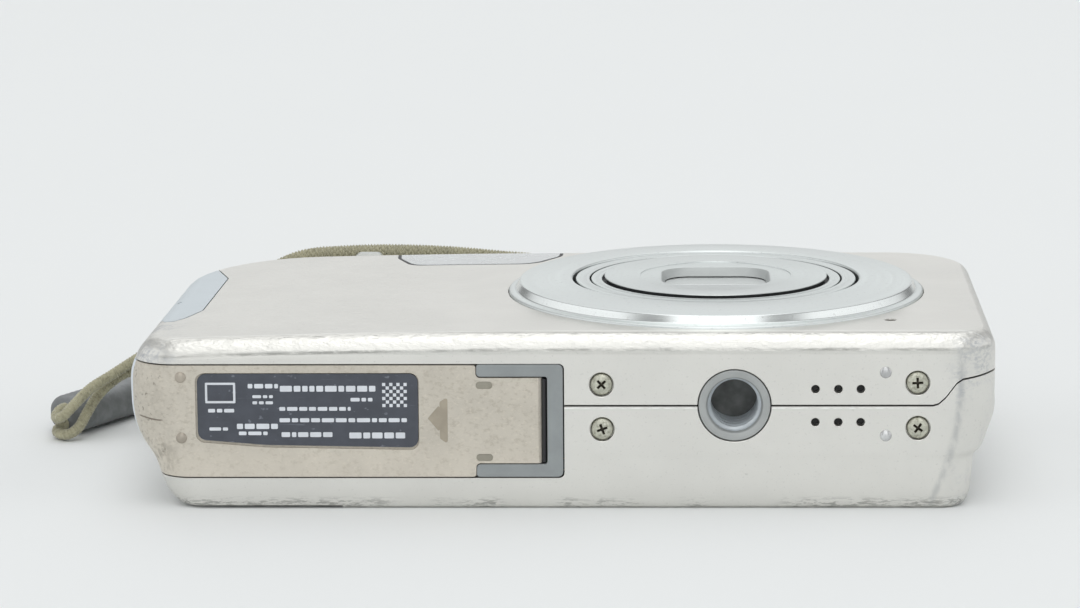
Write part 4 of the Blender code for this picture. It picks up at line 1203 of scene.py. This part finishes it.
def tripod_bush():
    """The bush with its chamfered mouth and a real thread in the bore."""
    mouth = UNDER_Y + 0.04
    minor, crest, pitch, blind = 2.62, 0.40, 1.27, 6.3
    centre = (SOCKET.x, SOCKET.z)
    bm = bmesh.new()
    body = ((3.02, mouth + 0.55), (3.14, mouth + 0.12), (3.2, mouth + 0.04), (3.3, mouth),
            (3.93, mouth), (4.0, mouth + 0.05), (4.02, mouth + 0.14), (4.02, mouth + 6.9),
            (0.0, mouth + 6.9), (0.0, mouth + blind), (3.02, mouth + blind))
    lathe(bm, body, centre, "Y", 96, lambda k: 1 if k in (8, 9) else 0)
    segments, levels = 96, 84
    start, end = mouth + 0.55, mouth + blind
    rings = []
    for j in range(levels + 1):
        h = start + (end - start) * j / levels
        fade = min((h - start) / 0.5, 1.0)
        ring = []
        for k in range(segments):
            turn = (h / pitch + k / segments) % 1.0
            wave = min(max(abs(turn - 0.5) * 2.6 - 0.25, 0.0), 1.0)
            radius = minor + crest * (1 - fade * (1 - wave))
            angle = 2 * math.pi * k / segments
            ring.append((centre[0] + radius * math.cos(angle), h,
                         centre[1] + radius * math.sin(angle)))
        rings.append(ring)
    before = len(bm.faces)
    skin(bm, rings, caps=False)
    bm.faces.ensure_lookup_table()
    for face in bm.faces[before:]:
        face.material_index = 2
    piece("tripod_bush", bm, (BUSH, BUSH_DARK, BUSH_THREAD), slot="steel",
          nodes=("tripod_socket",))


def mic_hole_shade():
    # A dark disc just inside the microphone hole: painted shade for the hole's depth.
    lathed("mic_hole_shade", ((0.0, 19.4), (0.7, 19.4), (0.7, 19.9), (0.0, 19.9)), MIC_HOLE, GRIME_AND_SHADE,
           "Z", 32, slot="black_plastic")


def cover_studs():
    """The two small domes at the underside's right end."""
    for number, spot in enumerate(((36.3, 15.6), (36.35, 8.4)), 1):
        bm = bmesh.new()
        pip(bm, spot, 0.66, 0.26)
        piece(f"cover_stud_{number}", bm, STUD, slot="cover_silver")


def speaker_mesh():
    """A baffle just behind the speaker holes."""
    bm = bmesh.new()
    prism(bm, rectangle((25.7, 36.3), (8.4, 15.2), 1.4), UNDER_Y + 1.25, UNDER_Y + 1.5, "Y")
    piece("speaker_baffle", bm, BLACK, slot="black_plastic", bevel=0.05)


# ---------------------------------------------------------------- lens
def lens_ring():
    profile = [(24.24, 19.7), (24.24, 20.08), (24.2, 20.16), (24.05, 20.23), (23.75, 20.3),
               (23.52, 20.36), (23.42, 20.42), (23.38, 20.46), (23.36, 20.5), (23.04, 21.14),
               (23.02, 21.18), (22.97, 21.24), (22.9, 21.28), (22.8, 21.3),
               (17.2, 21.6), (16.95, 21.56), (16.82, 21.46), (16.78, 21.34), (16.78, 18.9),
               (19.2, 18.9), (19.2, 19.7)]
    lathed("lens_ring", profile, LENS, (TURNED, POLISHED), "Z", 256,
           lambda k: 1 if 5 < k < 11 else 0,
           slot="lens_aluminium", nodes=("lens_bezel",), angle=50.0)


def barrels():
    rows = (("barrel_outer", 16.4, 15.1, 14.8, 6.6, 21.45),
            ("barrel_middle", 14.6, 13.9, 13.32, 7.0, 21.42))
    for node, outer, inner, lip, low, high in rows:
        profile = ((outer, low), (outer, high - 0.12), (outer - 0.05, high - 0.03),
                   (outer - 0.15, high), (lip + 0.62, high), (lip + 0.55, high - 0.05),
                   (lip + 0.45, high - 0.05), (lip + 0.38, high), (lip + 0.1, high),
                   (lip, high - 0.08), (lip, high - 0.6), (inner, high - 0.6), (inner, low))
        # The black faces, the outer wall and the lip's inner walls, are painted shade in the gaps
        # between the rings.
        lathed(f"{node}_skin", profile, LENS, (CAP, BLACK), "Z", 192,
               lambda k: 1 if k in (0, 10, 11, 12) else 0,
               body=node, slot="cap_aluminium", nodes=(node,), angle=40.0)


def oblong_point(half_w, half_h, radius, angle):
    """Where a ray from the centre leaves a rounded rectangle."""
    way = Vector((math.cos(angle), math.sin(angle)))
    low, high = 0.0, half_w + half_h
    for _ in range(40):
        mid = (low + high) / 2
        dx = max(abs(way.x) * mid - (half_w - radius), 0.0)
        dy = max(abs(way.y) * mid - (half_h - radius), 0.0)
        inside = math.hypot(dx, dy) <= radius
        low, high = (mid, high) if inside else (low, mid)
    return low


def front_cap():
    """The front plate: black rim, flat ring, shallow dish and the sloped window."""
    segments = 192
    angles = [2 * math.pi * k / segments for k in range(segments)]
    # The black finish on the rim's walls and under the window's foot is painted shade in the gaps
    # round the plate.
    rings = [([radius] * segments, height, finish) for radius, height, finish in (
        (12.4, 20.66, 2), (12.4, 20.96, 2), (12.75, 20.96, 2), (12.75, 21.6, 2),
        (13.0, 21.62, 0), (13.03, 21.68, 0), (12.98, 21.74, 0), (12.85, 21.75, 0),
        (8.95, 21.75, 0), (8.84, 21.72, 0), (8.8, 21.62, 0), (8.72, 21.6, 0))]
    rings += [([oblong_point(half_w, half_h, radius, a) for a in angles], height, finish)
              for half_w, half_h, radius, height, finish in (
                  (6.5, 6.05, 3.5, 21.58, 0), (6.35, 5.85, 3.4, 21.52, 1),
                  (6.22, 5.68, 3.3, 21.36, 1), (6.1, 5.3, 3.2, 21.1, 1),
                  (5.96, 4.6, 3.0, 20.74, 1), (5.92, 4.5, 3.0, 20.68, 2),
                  (6.6, 5.4, 3.4, 20.66, 2))]
    bm = bmesh.new()
    made = [[bm.verts.new((LENS.x + r * math.cos(a), LENS.y + r * math.sin(a), height))
             for r, a in zip(radii, angles)] for radii, height, _ in rings]
    for low, high, (_, _, finish) in zip(made, made[1:] + made[:1], rings):
        for k in range(segments):
            after = (k + 1) % segments
            face = bm.faces.new((low[k], low[after], high[after], high[k]))
            face.material_index = finish
    piece("front_cap", bm, (CAP, WINDOW_WALL_SHADE, BLACK), body="barrel_inner", slot="cap_aluminium",
          nodes=("lens_front_cap",), angle=40.0)


def blades():
    """The two barrier blades, which meet a hair apart behind the window."""
    width, depth, travel, clear_r = 7.5, 6.2, 5.2, 12.3
    arc_x = [width * math.cos(math.pi * k / 24) for k in range(25)]
    for side, where in ((1, "far"), (-1, "near")):
        foot = LENS.y + side * 0.07
        outline = [(LENS.x - width, foot), (LENS.x + width, foot)]
        outline += [(LENS.x + x,
                     LENS.y + side * min(depth, math.sqrt(clear_r ** 2 - x ** 2) - travel))
                    for x in arc_x]
        bm = bmesh.new()
        prism(bm, outline, 20.17, 20.55)
        piece(f"blade_{where}_skin", bm, BLADE, body=f"blade_{where}", slot="button_silver",
              nodes=(f"barrier_blade_{where}",), bevel=0.06)


# ---------------------------------------------------------------- controls
def zoom_lever(x, z):
    """The ring round the shutter button, with a ribbed nub."""
    rim = TOP_Y + 0.3
    bm = bmesh.new()
    lathe(bm, ((7.45, rim), (7.6, rim + 0.12), (7.6, rim + 1.05), (7.52, rim + 1.25),
               (7.3, rim + 1.42), (7.1, rim + 1.5), (5.5, rim + 1.5), (5.3, rim + 1.45),
               (5.14, rim + 1.3), (5.1, rim + 1.1), (5.1, rim + 0.35), (3.4, rim + 0.35),
               (3.4, TOP_Y - 2.3), (4.6, TOP_Y - 2.3), (4.6, rim)), (x, z), "Y", 96)
    tip = rounded_outline(((x - 2.2, z + 6.2), (x + 2.2, z + 6.2), (x + 1.75, z + 8.8),
                           (x - 1.75, z + 8.8)), (0.0, 0.0, 1.0, 1.0), 6)
    bm = cut(bm, prism_cutter((tip, rim + 0.1, rim + 1.4, "Y")), "UNION")
    for k in range(-2, 3):
        rib_x = x + 0.62 * k
        prism(bm, rectangle((rib_x - 0.13, rib_x + 0.13), (z + 7.3, z + 8.5), 0.1, 3),
              rim + 1.3, rim + 1.52, "Y")
    piece("zoom_lever_skin", bm, CONTROL, body="zoom_lever", slot="control_aluminium",
          nodes=("zoom_lever",))


def control_skin(name, profile, centre, finish, segments, slot, axis="Z", **rest):
    """The turned skin of a button that moves as its own body."""
    lathed(f"{name}_skin", profile, centre, finish, axis, segments, body=name, slot=slot,
           nodes=(name,), **rest)


def top_controls():
    zoom_lever(SHUTTER.x, SHUTTER.z)
    top = TOP_Y + 2.2
    control_skin("shutter_button", (
        (0.0, top - 0.12), (2.0, top - 0.09), (3.4, top - 0.02), (3.75, top),
        (4.0, top - 0.03), (4.35, top - 0.14), (4.55, top - 0.3), (4.6, top - 0.45),
        (4.6, top - 0.75), (2.6, top - 0.75), (2.6, TOP_Y - 2.7), (0.0, TOP_Y - 2.7)),
        (SHUTTER.x, SHUTTER.z), CONTROL, 96, "control_aluminium", "Y")
    control_skin("power_button", (
        (0.0, TOP_Y - 0.16), (1.6, TOP_Y - 0.12), (2.2, TOP_Y - 0.1), (2.42, TOP_Y - 0.14),
        (2.56, TOP_Y - 0.26), (2.6, TOP_Y - 0.45), (2.6, TOP_Y - 2.7), (0.0, TOP_Y - 2.7)),
        (POWER.x, POWER.z), CONTROL, 64, "control_aluminium", "Y")


def rear_controls():
    low, high = 0.38, 1.85
    for name in REAR_BUTTONS:
        control_skin(name, ((0.0, low), (1.9, low), (2.12, low + 0.05), (2.25, low + 0.15),
                            (2.3, low + 0.3), (2.3, high), (0.0, high)),
                     middle(name), BUTTON, 64, "button_silver")
    control_skin("control_pad", (
        (6.75, low), (6.98, low + 0.04), (7.13, low + 0.14), (7.2, low + 0.3), (7.2, high),
        (3.9, high), (3.9, low + 0.3), (3.97, low + 0.12), (4.12, low + 0.02), (4.4, low)),
        PAD, BUTTON, 128, "button_silver", angle=40.0)
    marks = bmesh.new()
    for k in range(4):
        way = Vector((math.cos(math.pi / 2 * k), math.sin(math.pi / 2 * k)))
        side = Vector((-way.y, way.x))
        centre = Vector((PAD.x, PAD.y)) + way * 5.6
        arrow = [tuple(centre + way * 0.6), tuple(centre - way * 0.35 + side * 0.7),
                 tuple(centre - way * 0.35 - side * 0.7)]
        prism(marks, arrow, low - 0.012, low + 0.05)
    piece("control_pad_marks", marks, PAD_MARK, body="control_pad", slot="button_silver")
    control_skin("set_button", (
        (0.0, low + 0.06), (2.2, low + 0.03), (3.0, low), (3.3, low + 0.06),
        (3.45, low + 0.18), (3.5, low + 0.35), (3.5, high), (0.0, high)),
        PAD, BUTTON, 96, "button_silver")
    bm = bmesh.new()
    prism(bm, rectangle(SCREEN_X, SCREEN_Y, 1.3, 8), 0.3, 1.3)
    piece("screen_pane", bm, SCREEN, slot="screen_glass", nodes=("lcd_window",), bevel=0.12)


# ---------------------------------------------------------------- carried-over CAD nodes
NODE_FINISH = {
    # door_hinge_plate is black so that the gap beside the door's tongue shows painted shade.
    "door_hinge_plate": BLACK, "bottom_bracket": STEEL, "speaker": BLACK, "lens_housing": BLACK,
    "cam_ring": GREY, "zoom_gear": GREY, "zoom_motor": STEEL, "barrel_inner": BLACK,
    "lens_carrier": BLACK, "front_lens": GLASS, "shutter_unit": BLACK, "rear_lens": GLASS,
    "image_sensor": BLACK, "battery_case": BLACK, "battery": WRAP, "battery_catch": GREY,
    "flash_capacitor": BLACK, "card_socket": STEEL, "memory_card": WRAP, "main_board": BOARD,
    "control_board": BOARD, "top_board": BOARD, "lcd_panel": BLACK, "flash_reflector": CAP,
    "flash_tube": GLASS, "microphone": STEEL, "usb_port": STEEL, "strap_lug": STEEL,
}


def finish_nodes():
    """Give every CAD node that stays visible its own material."""
    for name, finish in NODE_FINISH.items():
        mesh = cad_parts[name].data
        mesh.materials.clear()
        mesh.materials.append(finish)


casing_pieces()
label()
door_details()
door_bezel()
for number, (centre, turn) in enumerate(zip(SCREWS, (0.75, 0.35, 0.05, 0.95)), 1):
    screw(number, centre, turn)
tripod_bush()
cover_studs()
mic_hole_shade()
speaker_mesh()
lens_ring()
barrels()
front_cap()
blades()
top_controls()
rear_controls()
finish_nodes()
